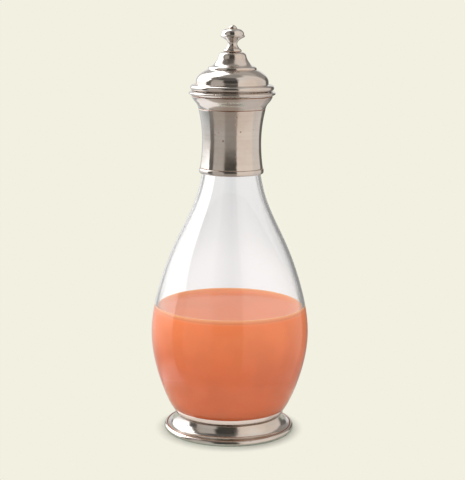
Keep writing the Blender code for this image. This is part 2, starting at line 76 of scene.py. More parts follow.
SEAT_GAP = 0.0003
BEDDING = 0.0006
GROOVE_WIDTH = 0.0007

log = logging.getLogger("carafe")


class Body(str, Enum):
    """The bodies of the frame that pieces ride on."""

    CARAFE = "carafe"
    LID = "lid"


class Slot(str, Enum):
    """Material slots, one for each kind of finish."""

    GLASS = "clear_glass"
    PEWTER = "pewter"
    COMPOUND = "setting_compound"
    STEEL = "steel"


def mix(first: float, second: float, share: float) -> float:
    """Value at a share of the way from the first to the second."""
    return first + (second - first) * share


def arc(centre: Point, radii: Point, start: float, end: float, steps: int) -> list[Point]:
    """Points of an elliptical arc.

    Args:
        centre: Radius and height of the arc's centre.
        radii: Its half width and half height.
        start: Angle of the first point, in degrees from straight outwards.
        end: Angle of the last point.
        steps: Number of stretches.

    Returns:
        The points from start to end.
    """
    angles = np.radians(np.linspace(start, end, steps + 1))
    return [(centre[0] + radii[0] * math.cos(a), centre[1] + radii[1] * math.sin(a)) for a in angles]


def curve_through(stations: Sequence[Point], spacing: float, start: Point, end: Point) -> list[Point]:
    """Points of the smooth curve through stations.

    Args:
        stations: Radii and heights that the curve passes through.
        spacing: Longest stretch between two points of the result.
        start: Direction at the first station.
        end: Direction at the last station.

    Returns:
        Points of the cubic spline, the first and last station among them.
    """
    knots = np.array(stations, float)
    spans = np.linalg.norm(np.diff(knots, axis=0), axis=1)
    count = len(knots)
    system = np.zeros((count, count))
    right = np.zeros((count, 2))
    for i in range(1, count - 1):
        system[i, i - 1:i + 2] = spans[i], 2 * (spans[i - 1] + spans[i]), spans[i - 1]
        secant_in = (knots[i] - knots[i - 1]) / spans[i - 1]
        secant_out = (knots[i + 1] - knots[i]) / spans[i]
        right[i] = 3 * (spans[i] * secant_in + spans[i - 1] * secant_out)
    for row, direction in ((0, start), (-1, end)):
        system[row, row] = 1
        right[row] = np.array(direction, float) / np.linalg.norm(direction)
    slopes = np.linalg.solve(system, right)
    points = [tuple(knots[0])]
    for i, span in enumerate(spans):
        steps = max(2, math.ceil(span / spacing))
        for t in np.linspace(0, 1, steps + 1)[1:]:
            points.append(tuple((1 + 2 * t) * (1 - t) ** 2 * knots[i] + t * (1 - t) ** 2 * span * slopes[i]
                                + t * t * (3 - 2 * t) * knots[i + 1]
                                + t * t * (t - 1) * span * slopes[i + 1]))
    return points


def offset(points: Sequence[Point], distance: float) -> list[Point]:
    """Outline moved sideways.

    Args:
        points: The outline.
        distance: How far it moves, to the right of the way that it runs.

    Returns:
        The moved outline, point for point.
    """
    path = np.array(points, float)
    along = np.gradient(path, axis=0)
    along /= np.linalg.norm(along, axis=1)[:, None]
    across = np.stack([along[:, 1], -along[:, 0]], axis=1)
    return [tuple(p) for p in path + distance * across]


def raised(points: Iterable[Point], rise: float) -> list[Point]:
    """Outline moved up by rise."""
    return [(r, z + rise) for r, z in points]


def between(points: Iterable[Point], low: float, high: float) -> list[Point]:
    """Part of an outline whose heights lie between low and high."""
    return [p for p in points if low < p[1] < high]


def radius_at(points: Sequence[Point], height: float) -> float:
    """Radius of a rising outline at a height."""
    return float(np.interp(height, [p[1] for p in points], [p[0] for p in points]))


def eased(points: Sequence[Point], reach: float, closed: bool, steps: int = 3) -> list[Point]:
    """Outline whose sharp corners are rounded, as polishing rounds them.

    Args:
        points: The outline.
        reach: How far along its sides a corner's round starts.
        closed: Whether the last point joins the first.
        steps: Stretches in each round.

    Returns:
        The outline with a short curve in place of each sharp corner.
    """
    path = [Vector(p) for p in points]
    made = []
    for i, here in enumerate(path):
        if not closed and i in (0, len(path) - 1):
            made.append(tuple(here))
            continue
        back = path[i - 1] - here
        ahead = path[(i + 1) % len(path)] - here
        if math.degrees(math.pi - back.angle(ahead)) < SHARP_TURN:
            made.append(tuple(here))
            continue
        first = here + back.normalized() * min(reach, EASED_SHARE * back.length)
        last = here + ahead.normalized() * min(reach, EASED_SHARE * ahead.length)
        for t in np.linspace(0, 1, steps + 1):
            made.append(tuple(first * (1 - t) ** 2 + here * 2 * t * (1 - t) + last * t * t))
    return made


def deselect_all() -> None:
    """Leaves object mode with nothing selected."""
    if bpy.context.object is not None and bpy.context.object.mode != "OBJECT":
        bpy.ops.object.mode_set(mode="OBJECT")
    bpy.ops.object.select_all(action="DESELECT")


@dataclass(frozen=True)
class Crevice:
    """A ring round a turned piece where patina gathers."""

    radius: float
    height: float
    reach: float
    strength: float = 1.0


def turn(name: str, section: Sequence[Point], closed: bool, segments: int) -> Piece:
    """Turns one piece about Z with the mesh operators.

    Args:
        name: Name of the piece.
        section: Its outline, in radii and heights of the world.
        closed: Whether the outline is a ring section, whose last point joins its first.
        segments: Number of steps round.

    Returns:
        The turned piece, whose object stands at the origin.
    """
    deselect_all()
    bpy.ops.mesh.primitive_plane_add(size=MERGE_DISTANCE, location=(0.0, 0.0, 0.0))
    piece = bpy.context.active_object
    piece.name = piece.data.name = name
    bpy.ops.object.mode_set(mode="EDIT")
    bpy.ops.mesh.merge(type="CENTER")
    path = list(section) + ([section[0]] if closed else [])
    bpy.ops.transform.translate(value=(path[0][0], 0.0, path[0][1]))
    for (r, z), (next_r, next_z) in zip(path[:-1], path[1:]):
        bpy.ops.mesh.extrude_vertices_move(TRANSFORM_OT_translate={"value": (next_r - r, 0.0, next_z - z)})
    bpy.ops.mesh.select_all(action="SELECT")
    bpy.ops.mesh.spin(steps=segments, angle=math.tau, center=(0, 0, 0), axis=(0, 0, 1))
    bpy.ops.mesh.select_all(action="SELECT")
    bpy.ops.mesh.remove_doubles(threshold=MERGE_DISTANCE)
    bpy.ops.mesh.normals_make_consistent(inside=False)
    bpy.ops.object.mode_set(mode="OBJECT")
    bpy.ops.object.shade_smooth_by_angle(angle=math.radians(SMOOTH_ANGLE))
    return piece


def write_attribute(piece: Piece, name: str, values: np.ndarray) -> None:
    """Stores one number for each vertex of a piece under a name."""
    made = piece.data.attributes.new(name, "FLOAT", "POINT")
    made.data.foreach_set("value", values.astype(np.float32))


def vertex_rings(piece: Piece) -> tuple[np.ndarray, np.ndarray]:
    """Where the vertices of a turned piece lie.

    Args:
        piece: The piece.

    Returns:
        The radius and the height of each vertex.
    """
    spots = np.zeros(len(piece.data.vertices) * 3, np.float32)
    piece.data.vertices.foreach_get("co", spots)
    spots = spots.reshape(-1, 3)
    return np.hypot(spots[:, 0], spots[:, 1]), spots[:, 2]


def mark_crevices(piece: Piece, crevices: Sequence[Crevice], rise: float) -> None:
    """Marks where patina gathers on a turned piece.

    Args:
        piece: The piece.
        crevices: The crevices that run round it.
        rise: How far above the crevices' own zero they lie in the world.
    """
    radii, heights = vertex_rings(piece)
    depth = np.zeros(len(radii))
    for c in crevices:
        apart = np.hypot(radii - c.radius, heights - c.height - rise) / c.reach
        depth = np.maximum(depth, c.strength * np.exp(-apart ** 2))
    write_attribute(piece, CREVICE, depth)


class Nodes:
    """Adds and links the nodes of one shader tree."""

    def __init__(self, tree: Tree) -> None:
        """Keeps the tree that nodes are added to."""
        self.tree = tree

    def add(self, kind: str, inputs: dict | None = None, **settings: object) -> Node:
        """Adds a node.

        Args:
            kind: Its kind, by the name that the shader editor has for it.
            inputs: What its inputs take, by their names or numbers.
            settings: Its settings, by name.

        Returns:
            The node.
        """
        node = self.tree.nodes.new(kind)
        for name, value in settings.items():
            setattr(node, name, value)
        for key, value in (inputs or {}).items():
            self.feed(node.inputs[key], value)
        return node

    def feed(self, socket: Socket, value: object) -> None:
        """Gives an input what it takes.

        Args:
            socket: The input.
            value: An output to link it to, or a plain value, which has three parts for a colour.
        """
        if isinstance(value, Socket):
            self.tree.links.new(value, socket)
        else:
            socket.default_value = (*value, 1.0) if socket.type == "RGBA" else value

    def fill(self, node: Node, **values: object) -> Node:
        """Feeds a node's inputs.

        Args:
            node: The node.
            values: What the inputs take, by name. An underscore in a name stands for a space.

        Returns:
            The node.
        """
        for name, value in values.items():
            self.feed(node.inputs[name.replace("_", " ")], value)
        return node

    def math(self, operation: str, *values: object) -> Socket:
        """Output of a Math node with these inputs."""
        return self.add("ShaderNodeMath", dict(enumerate(values)), operation=operation).outputs[0]

    def ranged(self, value: object, low: float, high: float, to_low: float = 0.0,
               to_high: float = 1.0) -> Socket:
        """Value carried smoothly from one range to another, and held at its ends."""
        ends = {"Value": value, "From Min": low, "From Max": high, "To Min": to_low, "To Max": to_high}
        return self.add("ShaderNodeMapRange", ends, interpolation_type="SMOOTHSTEP").outputs["Result"]

    def blend(self, share: object, first: object, second: object, kind: str = "MIX") -> Socket:
        """Colour mixed from two by a share."""
        inputs = {"Factor": share, 6: first, 7: second}
        return self.add("ShaderNodeMix", inputs, data_type="RGBA", blend_type=kind).outputs[2]

    def noise(self, vector: object, scale: float, detail: float, roughness: float = 0.5,
              dimensions: str = "3D") -> Socket:
        """Noise from 0 to 1.

        Args:
            vector: The position that it varies over, or a number where it has one dimension.
            scale: How close its waves lie.
            detail: How many finer layers it has.
            roughness: How strong the finer layers are.
            dimensions: Its dimensions.

        Returns:
            The noise.
        """
        inputs = {"W" if dimensions == "1D" else "Vector": vector, "Scale": scale, "Detail": detail,
                  "Roughness": roughness}
        return self.add("ShaderNodeTexNoise", inputs, noise_dimensions=dimensions).outputs["Fac"]

    def split(self, vector: object) -> object:
        """X, Y and Z of a vector, by name."""
        return self.add("ShaderNodeSeparateXYZ", {0: vector}).outputs

    def length(self, vector: object) -> Socket:
        """Length of a vector."""
        return self.add("ShaderNodeVectorMath", {0: vector}, operation="LENGTH").outputs["Value"]

    def attribute(self, name: str) -> Socket:
        """Number that the piece holds under a name."""
        return self.add("ShaderNodeAttribute", attribute_name=name).outputs["Fac"]

    def group(self, tree: Tree, **values: object) -> object:
        """Outputs, by name, of a node group placed with its own values."""
        return self.fill(self.add("ShaderNodeGroup", node_tree=tree), **values).outputs

    def bump(self, height: object, distance: float, under: object = None) -> Socket:
        """Normal raised by a height.

        Args:
            height: The height, from 0 to 1.
            distance: How far a height of 1 stands out.
            under: The normal that it lies on top of, or None.

        Returns:
            The raised normal.
        """
        inputs = {"Height": height, "Distance": distance}
        if under is not None:
            inputs["Normal"] = under
        return self.add("ShaderNodeBump", inputs).outputs["Normal"]

    def cover(self, share: object, first: object, second: object) -> Socket:
        """Shader mixed from two by a share."""
        return self.add("ShaderNodeMixShader", {0: share, 1: first, 2: second}).outputs["Shader"]

    def surface(self, shader: Socket) -> None:
        """Makes a shader the one that the material shows."""
        output = next(n for n in self.tree.nodes if n.type == "OUTPUT_MATERIAL")
        self.feed(output.inputs["Surface"], shader)


def new_group(name: str, inputs: dict[str, float | None], outputs: Sequence[str]) -> tuple:
    """Starts a shader node group.

    Args:
        name: Name of the group.
        inputs: Each input's name and its plain value, or None for a position.
        outputs: Names of the values that the group puts out.

    Returns:
        The group's tree, the helper that adds its nodes, what is given to it, and its output node.
    """
    tree = bpy.data.node_groups.new(name, "ShaderNodeTree")
    for key, value in inputs.items():
        kind = "NodeSocketVector" if value is None else "NodeSocketFloat"
        socket = tree.interface.new_socket(key, in_out="INPUT", socket_type=kind)
        if value is not None:
            socket.default_value = value
    for key in outputs:
        tree.interface.new_socket(key, in_out="OUTPUT", socket_type="NodeSocketFloat")
    nodes = Nodes(tree)
    return tree, nodes, nodes.add("NodeGroupInput").outputs, nodes.add("NodeGroupOutput")


@dataclass
class Effects:
    """Shader node groups that more than one finish uses."""

    rise_share: float = 0.83
    wander: Point = (55.0, 0.00012)
    streak_scale: float = 0.13
    pit_edge: Point = (0.10, 0.24)
    hairlines: tuple[Point, ...] = ((0.6, 60.0), (2.1, 85.0), (1.2, 70.0))
    hairline_turn: Triple = (1.0, 0.7, 1.3)
    hairline_stretch: Triple = (12.0, 1.0, 0.4)
    hairline_width: float = 0.010
    patch_edge: Point = (0.32, 0.68)

    def __post_init__(self) -> None:
        """Builds each group once."""
        self.turning = self.turning_lines()
        self.handling = self.handling_marks()
        self.mottle = self.mottling()

    def turning_lines(self) -> Tree:
        """Fine rings that a lathe tool and a polishing cloth leave round a turned piece.

        Returns:
            A group that puts out the height of the rings and a streak that varies from ring to ring.
        """
        tree, nodes, given, out = new_group(
            "turning lines", {"Position": None, "Fineness": 2600.0, "Wander": self.wander[1]},
            ["Height", "Streak"])
        parts = nodes.split(given["Position"])
        squares = [nodes.math("POWER", parts[axis], 2.0) for axis in "XY"]
        radius = nodes.math("SQRT", nodes.math("ADD", *squares))
        path = nodes.math("ADD", nodes.math("MULTIPLY", radius, self.rise_share), parts["Z"])
        drift = nodes.math("SUBTRACT", nodes.noise(given["Position"], self.wander[0], detail=2.0), 0.5)
        path = nodes.math("MULTIPLY_ADD", drift, given["Wander"], path)
        path = nodes.math("MULTIPLY", path, given["Fineness"])
        nodes.fill(out, Height=nodes.noise(path, 1.0, detail=2.0, roughness=0.6, dimensions="1D"),
                   Streak=nodes.noise(path, self.streak_scale, detail=1.0, dimensions="1D"))
        return tree

    def handling_marks(self) -> Tree:
        """Dents, pits and hairlines of long use.

        Returns:
            A group that puts out a dent height, a pit mask and a hairline mask.
        """
        tree, nodes, given, out = new_group(
            "handling marks", {"Position": None, "Dent Scale": 90.0, "Pit Scale": 330.0, "Pit Share": 0.09},
            ["Dent", "Pit", "Hairline"])
        position = given["Position"]
        cells = nodes.add("ShaderNodeTexVoronoi", {"Vector": position, "Scale": given["Pit Scale"]}).outputs
        chosen = nodes.math("LESS_THAN", nodes.split(cells["Color"])["X"], given["Pit Share"])
        spot = nodes.ranged(cells["Distance"], *self.pit_edge, 1.0, 0.0)
        hairline = 0.0
        for turned, scale in self.hairlines:
            lay = nodes.add("ShaderNodeMapping", {
                "Vector": position, "Rotation": tuple(turned * share for share in self.hairline_turn),
                "Scale": tuple(scale * share for share in self.hairline_stretch)})
            streak = nodes.noise(lay.outputs["Vector"], 1.0, detail=1.0)
            apart = nodes.math("ABSOLUTE", nodes.math("SUBTRACT", streak, 0.5))
            line = nodes.ranged(apart, 0.0, self.hairline_width, 1.0, 0.0)
            hairline = nodes.math("MAXIMUM", hairline, line)
        nodes.fill(out, Dent=nodes.noise(position, given["Dent Scale"], detail=2.0, roughness=0.45),
                   Pit=nodes.math("MULTIPLY", spot, chosen), Hairline=hairline)
        return tree

    def mottling(self) -> Tree:
        """Soft uneven patches at two scales.

        Returns:
            A group that puts out broad patches and a fine grain.
        """
        tree, nodes, given, out = new_group(
            "mottling", {"Position": None, "Patch Scale": 45.0, "Grain Scale": 900.0}, ["Patch", "Grain"])
        patch = nodes.noise(given["Position"], given["Patch Scale"], detail=3.0, roughness=0.55)
        nodes.fill(out, Patch=nodes.ranged(patch, *self.patch_edge),
                   Grain=nodes.noise(given["Position"], given["Grain Scale"], detail=2.0, roughness=0.6))
        return tree


def new_material(name: str) -> tuple[Look, Nodes, Node, Socket]:
    """Starts a material.

    Args:
        name: Name of the material.

    Returns:
        The material, the helper that adds its nodes, its Principled shader and the position on the piece.
    """
    made = bpy.data.materials.new(name)
    made.use_nodes = True
    nodes = Nodes(made.node_tree)
    position = nodes.add("ShaderNodeTexCoord").outputs["Object"]
    return made, nodes, made.node_tree.nodes["Principled BSDF"], position


@dataclass(frozen=True)
class Pewter:
    """Bright turned pewter, worn by handling, with brown patina in its grooves."""

    colour: Colour = (0.640, 0.612, 0.585)
    warm: Colour = (0.600, 0.545, 0.500)
    patina: Colour = (0.340, 0.150, 0.076)
    roughness: float = 0.105
    worn_roughness: float = 0.19
    patina_roughness: float = 0.55
    patina_uneven: Point = (0.35, 0.72)
    patina_edge: Point = (0.18, 0.78)
    pit_stain: float = 0.75
    streak: Point = (0.985, 1.015)
    streak_edge: Point = (0.3, 0.7)
    hairline_wear: float = 0.35
    full_wear: float = 1.3
    line_depth: float = 0.0000012
    dent_depth: float = 0.00016
    pit_depth: float = 0.00012

    def material(self, name: str, effects: Effects, dent_scale: float) -> Look:
        """Builds the finish for one piece.

        Args:
            name: Name of the material.
            effects: The shared effects.
            dent_scale: How close the dents of the piece lie.

        Returns:
            The material, which reads the piece's crevice attribute.
        """
        made, nodes, shader, position = new_material(name)
        lines = nodes.group(effects.turning, Position=position)
        marks = nodes.group(effects.handling, Position=position, Dent_Scale=dent_scale)
        patch = nodes.group(effects.mottle, Position=position)["Patch"]
        uneven = nodes.math("MULTIPLY_ADD", patch, *self.patina_uneven)
        stained = nodes.ranged(nodes.math("MULTIPLY", nodes.attribute(CREVICE), uneven), *self.patina_edge)
        dark = nodes.math("MAXIMUM", stained, nodes.math("MULTIPLY", marks["Pit"], self.pit_stain))
        streaked = nodes.ranged(lines["Streak"], *self.streak_edge, *self.streak)
        metal = nodes.blend(1.0, nodes.blend(patch, self.colour, self.warm), streaked, "MULTIPLY")
        rubbed = nodes.math("MULTIPLY_ADD", marks["Hairline"], self.hairline_wear, patch)
        rough = nodes.ranged(rubbed, 0.0, self.full_wear, self.roughness, self.worn_roughness)
        dull = nodes.math("MULTIPLY", stained, self.patina_roughness - self.roughness)
        turned = nodes.bump(lines["Height"], self.line_depth)
        dented = nodes.bump(marks["Dent"], self.dent_depth, turned)
        pitted = nodes.bump(nodes.math("MULTIPLY", marks["Pit"], -1.0), self.pit_depth, dented)
        nodes.fill(shader, Base_Color=nodes.blend(dark, metal, self.patina), Metallic=1.0,
                   Roughness=nodes.math("ADD", rough, dull), Normal=pitted)
        return made


@dataclass(frozen=True)
class ClearGlass:
    """Colourless blown glass, fire polished, with slight waves, the faintest film of handling and a pale ring
    of painted light above the foot.
    """

    colour: Colour = (0.985, 0.992, 0.990)
    shade: Colour = (0.93, 0.935, 0.93)
    refraction: float = 1.50
    wave_depth: float = 0.00005
    wave_scale: float = 17.0
    film_roughness: float = 0.015
    film_grain: Point = (0.35, 0.75)
    # Painted light: the pale ring above the foot, its patches of painted shade, its share, edge and glow.
    painted_light_colour: Colour = (0.95, 0.80, 0.74)
    painted_light_shade: Colour = (0.55, 0.42, 0.36)
    painted_light_share: float = 0.88
    painted_light_edge: float = 0.0003
    painted_light_glow: float = 0.17
    painted_light_patch: float = 42.0
    painted_light_patch_edge: Point = (0.56, 0.66)

    def painted_base_light(self, nodes: Nodes, position: Socket, heel: Triple) -> tuple[Socket, Socket]:
        """Painted light: a pale, faintly glowing ring just above the foot, where the thick clear base gathers
        light from all round.

        Args:
            nodes: Helper of the material's tree.
            position: Position on the bottle.
            heel: Heights of the ring's lower and upper edge, and the radius that it lies outside of.

        Returns:
            Its mask and its colour of painted light, with patches of painted shade round the bottle.
        """
        low, high, radius = heel
        height = nodes.split(position)["Z"]
        inputs = {0: position, 1: (1.0, 1.0, 0.0)}
        flat = nodes.add("ShaderNodeVectorMath", inputs, operation="MULTIPLY").outputs[0]
        above = nodes.ranged(height, low - self.painted_light_edge, low)
        below = nodes.ranged(height, high - self.painted_light_edge, high, 1.0, 0.0)
        outer = nodes.math("GREATER_THAN", nodes.length(flat), radius)
        mask = nodes.math("MULTIPLY", nodes.math("MULTIPLY", above, below), outer)
        around = nodes.ranged(nodes.noise(flat, self.painted_light_patch, detail=2.0), *self.painted_light_patch_edge)
        return (nodes.math("MULTIPLY", mask, self.painted_light_share),
                nodes.blend(around, self.painted_light_colour, self.painted_light_shade))

    def material(self, name: str, effects: Effects, heel: Triple) -> Look:
        """Builds glass that lets light through to what stands in it, with a pale ring of painted light above
        the foot.

        Args:
            name: Name of the material.
            effects: The shared effects.
            heel: Heights of the painted light ring's lower and upper edge, and the radius that it lies
                outside of.

        Returns:
            The material. Light that only reaches or leaves a surface behind the glass goes straight on.
        """
        made, nodes, shader, position = new_material(name)
        patches = nodes.group(effects.mottle, Position=position, Patch_Scale=38.0, Grain_Scale=650.0)
        # Inside the ring the colour is painted light, not the glass's own.
        mask, pale = self.painted_base_light(nodes, position, heel)
        handled = nodes.math("MULTIPLY", patches["Patch"], nodes.ranged(patches["Grain"], *self.film_grain))
        wave = nodes.noise(position, self.wave_scale, detail=1.0, roughness=0.4)
        shared = {"Base_Color": nodes.blend(mask, self.colour, pale), "IOR": self.refraction,
                  "Roughness": nodes.math("MULTIPLY", handled, self.film_roughness),
                  "Normal": nodes.bump(wave, self.wave_depth)}
        nodes.fill(shader, Transmission_Weight=1.0, **shared)
        # The ring's shader glows with the painted light, though it is no lamp.
        ring = nodes.fill(nodes.add("ShaderNodeBsdfPrincipled"), Emission_Color=pale,
                          Emission_Strength=self.painted_light_glow, **shared)
        glass = nodes.cover(mask, shader.outputs["BSDF"], ring.outputs["BSDF"])
        path = nodes.add("ShaderNodeLightPath").outputs
        passing = nodes.math("MAXIMUM", path["Is Shadow Ray"], path["Is Diffuse Ray"])
        through = nodes.add("ShaderNodeBsdfTransparent", {"Color": self.shade}).outputs["BSDF"]
        nodes.surface(nodes.cover(passing, glass, through))
        return made


@dataclass(frozen=True)
class Juice:
    """Cloudy pink citrus juice, with painted shade towards the bottom and on its top, and painted light where
    it climbs the glass.
    """

    colour: Colour = (0.93, 0.252, 0.098)
    # Painted shade: the colour at the bottom of the juice, darker than the body.
    painted_shade_bottom: Colour = (0.80, 0.180, 0.074)
    # Paler colour of the pulp flecks, and painted light where the juice thins against the glass.
    pale: Colour = (0.90, 0.41, 0.23)
    # Painted reflection: darker colours that the body and the top show only in the metal.
    mirrored: Colour = (0.46, 0.19, 0.11)
    mirrored_top: Colour = (0.34, 0.29, 0.25)
    # Painted shade: how much darker the top is than the body.
    painted_top_shade: Colour = (0.80, 0.66, 0.60)
    cloud: Point = (0.96, 1.04)
    pulp_edge: Point = (0.62, 0.74)
    pulp_share: float = 0.12
    light_weight: float = 0.35
    light_radii: Triple = (1.0, 0.45, 0.25)
    light_depth: float = 0.006
    refraction: float = 1.34
    dull_share: float = 1.4
    grain_depth: float = 0.00002
    low: float = 0.045
    high: float = 0.092

    def material(self, name: str, effects: Effects, roughness: float, specular: float,
                 is_top: bool = False) -> Look:
        """Builds the juice.

        Args:
            name: Name of the material.
            effects: The shared effects.
            roughness: Roughness of its surface.
            specular: Strength of its own reflection, which is less where it lies against the glass.
            is_top: Whether it is the top of the juice, which is darkened as painted shade.

        Returns:
            The material, which reads the piece's film attribute, the mask of its painted light.
        """
        made, nodes, shader, position = new_material(name)
        patches = nodes.group(effects.mottle, Position=position, Patch_Scale=30.0, Grain_Scale=1400.0)
        # Painted shade: the juice goes darker towards the bottom.
        height = nodes.ranged(nodes.split(position)["Z"], self.low, self.high)
        cloud = nodes.ranged(patches["Patch"], 0.0, 1.0, *self.cloud)
        body = nodes.blend(1.0, nodes.blend(height, self.painted_shade_bottom, self.colour), cloud, "MULTIPLY")
        # Painted shade: the top is a darker copy of the same juice.
        if is_top:
            body = nodes.blend(1.0, body, self.painted_top_shade, "MULTIPLY")
        # Pulp flecks are paler juice; the film mask paints light where the juice thins at the wall.
        for share in (nodes.ranged(patches["Grain"], *self.pulp_edge, 0.0, self.pulp_share),
                      nodes.attribute(PAINTED_FILM_LIGHT)):
            body = nodes.blend(share, body, self.pale)
        # Painted reflection: seen in the metal, the juice takes a darker colour.
        depth = nodes.add("ShaderNodeLightPath").outputs["Glossy Depth"]
        body = nodes.blend(nodes.math("GREATER_THAN", depth, 0.5), body,
                           self.mirrored_top if is_top else self.mirrored)
        nodes.fill(shader, Base_Color=body, Subsurface_Weight=self.light_weight,
                   Subsurface_Radius=self.light_radii, Subsurface_Scale=self.light_depth,
                   IOR=self.refraction, Specular_IOR_Level=specular,
                   Roughness=nodes.ranged(patches["Patch"], 0.0, 1.0, roughness, roughness * self.dull_share),
                   Normal=nodes.bump(patches["Grain"], self.grain_depth))
        return made


@dataclass(frozen=True)
class Compound:
    """Dull setting compound, chalky and slightly uneven."""

    colour: Colour = (0.62, 0.58, 0.50)
    stain: Colour = (0.47, 0.41, 0.33)
    roughness: Point = (0.78, 0.95)
    grain_edge: Point = (0.2, 0.8)
    depth: float = 0.00008

    def material(self, name: str, effects: Effects) -> Look:
        """Builds the compound.

        Args:
            name: Name of the material.
            effects: The shared effects.

        Returns:
            The material.
        """
        made, nodes, shader, position = new_material(name)
        patches = nodes.group(effects.mottle, Position=position, Patch_Scale=160.0, Grain_Scale=2200.0)
        nodes.fill(shader, Base_Color=nodes.blend(patches["Patch"], self.colour, self.stain),
                   Roughness=nodes.ranged(patches["Grain"], *self.grain_edge, *self.roughness),
                   Normal=nodes.bump(patches["Grain"], self.depth))
        return made


@dataclass(frozen=True)
class Steel:
    """Plain steel of a washer and a nut, dulled by age."""

    colour: Colour = (0.55, 0.55, 0.56)
    dull: Colour = (0.40, 0.385, 0.37)
    roughness: Point = (0.28, 0.42)
    depth: float = 0.00004

    def material(self, name: str, effects: Effects) -> Look:
        """Builds the steel.

        Args:
            name: Name of the material.
            effects: The shared effects.

        Returns:
            The material.
        """
        made, nodes, shader, position = new_material(name)
        patch = nodes.group(effects.mottle, Position=position, Patch_Scale=320.0, Grain_Scale=2600.0)["Patch"]
        marks = nodes.group(effects.handling, Position=position, Dent_Scale=420.0, Pit_Scale=900.0)
        nodes.fill(shader, Base_Color=nodes.blend(patch, self.colour, self.dull), Metallic=1.0,
                   Roughness=nodes.ranged(patch, 0.0, 1.0, *self.roughness),
                   Normal=nodes.bump(marks["Dent"], self.depth))
        return made


@dataclass
class Finishes:
    """The finish of each kind of piece."""

    effects: Effects = field(default_factory=Effects)
    pewter: Pewter = field(default_factory=Pewter)
    glass: ClearGlass = field(default_factory=ClearGlass)
    juice: Juice = field(default_factory=Juice)
    compound: Compound = field(default_factory=Compound)
    steel: Steel = field(default_factory=Steel)


def seat(piece: Piece, looks: Sequence[Look], body: Body, slot: Slot | None = None,
         node: str | None = None) -> None:
    """Dresses a finished piece and ties it to the frame.

    Args:
        piece: The piece.
        looks: Its materials.
        body: The body that it rides on.
        slot: Its material slot, or None for the drink; it is not stored and only tells whether the solid is
            hidden.
        node: The solid that it stands for, or None for the drink.
    """
    for look in looks:
        piece.data.materials.append(look)
    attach(piece, body.value)
    if slot is not None:
        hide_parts(node)
    log.info("%s: %d vertices, rides on %s", piece.name, len(piece.data.vertices), body.value)


@dataclass
class Turned:
    """A piece that stands where its solid stands."""

    node: ClassVar[str]
    finishes: Finishes

    @property
    def base(self) -> float:
        """Height of the solid's lowest point in the world."""
        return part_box(self.node)[0].z

    def pewter(self, name: str, look: str, node: str, body: Body, section: Sequence[Point],
               crevices: Sequence[Crevice], reach: float = 0.0002, closed: bool = True, steps: int = 3,
               segments: int = 224, dent_scale: float = 95.0) -> None:
        """Turns a pewter piece, dresses it and ties it to the frame.

        Args:
            name: Name of the piece.
            look: Name of its material.
            node: The solid that it stands for.
            body: The body that it rides on.
            section: Its outline, in radii and heights above the base.
            crevices: The crevices that run round it, with heights above the base.
            reach: How far along its sides a corner's round starts.
            closed: Whether the outline is a ring section.
            steps: Stretches in a corner's round.
            segments: Number of steps round.
            dent_scale: How close its dents lie.
        """
        outline = raised(eased(section, reach, closed, steps), self.base)
        piece = turn(name, outline, closed, segments)
        mark_crevices(piece, crevices, self.base)
        finish = self.finishes.pewter.material(look, self.finishes.effects, dent_scale)
        seat(piece, [finish], body, Slot.PEWTER, node)


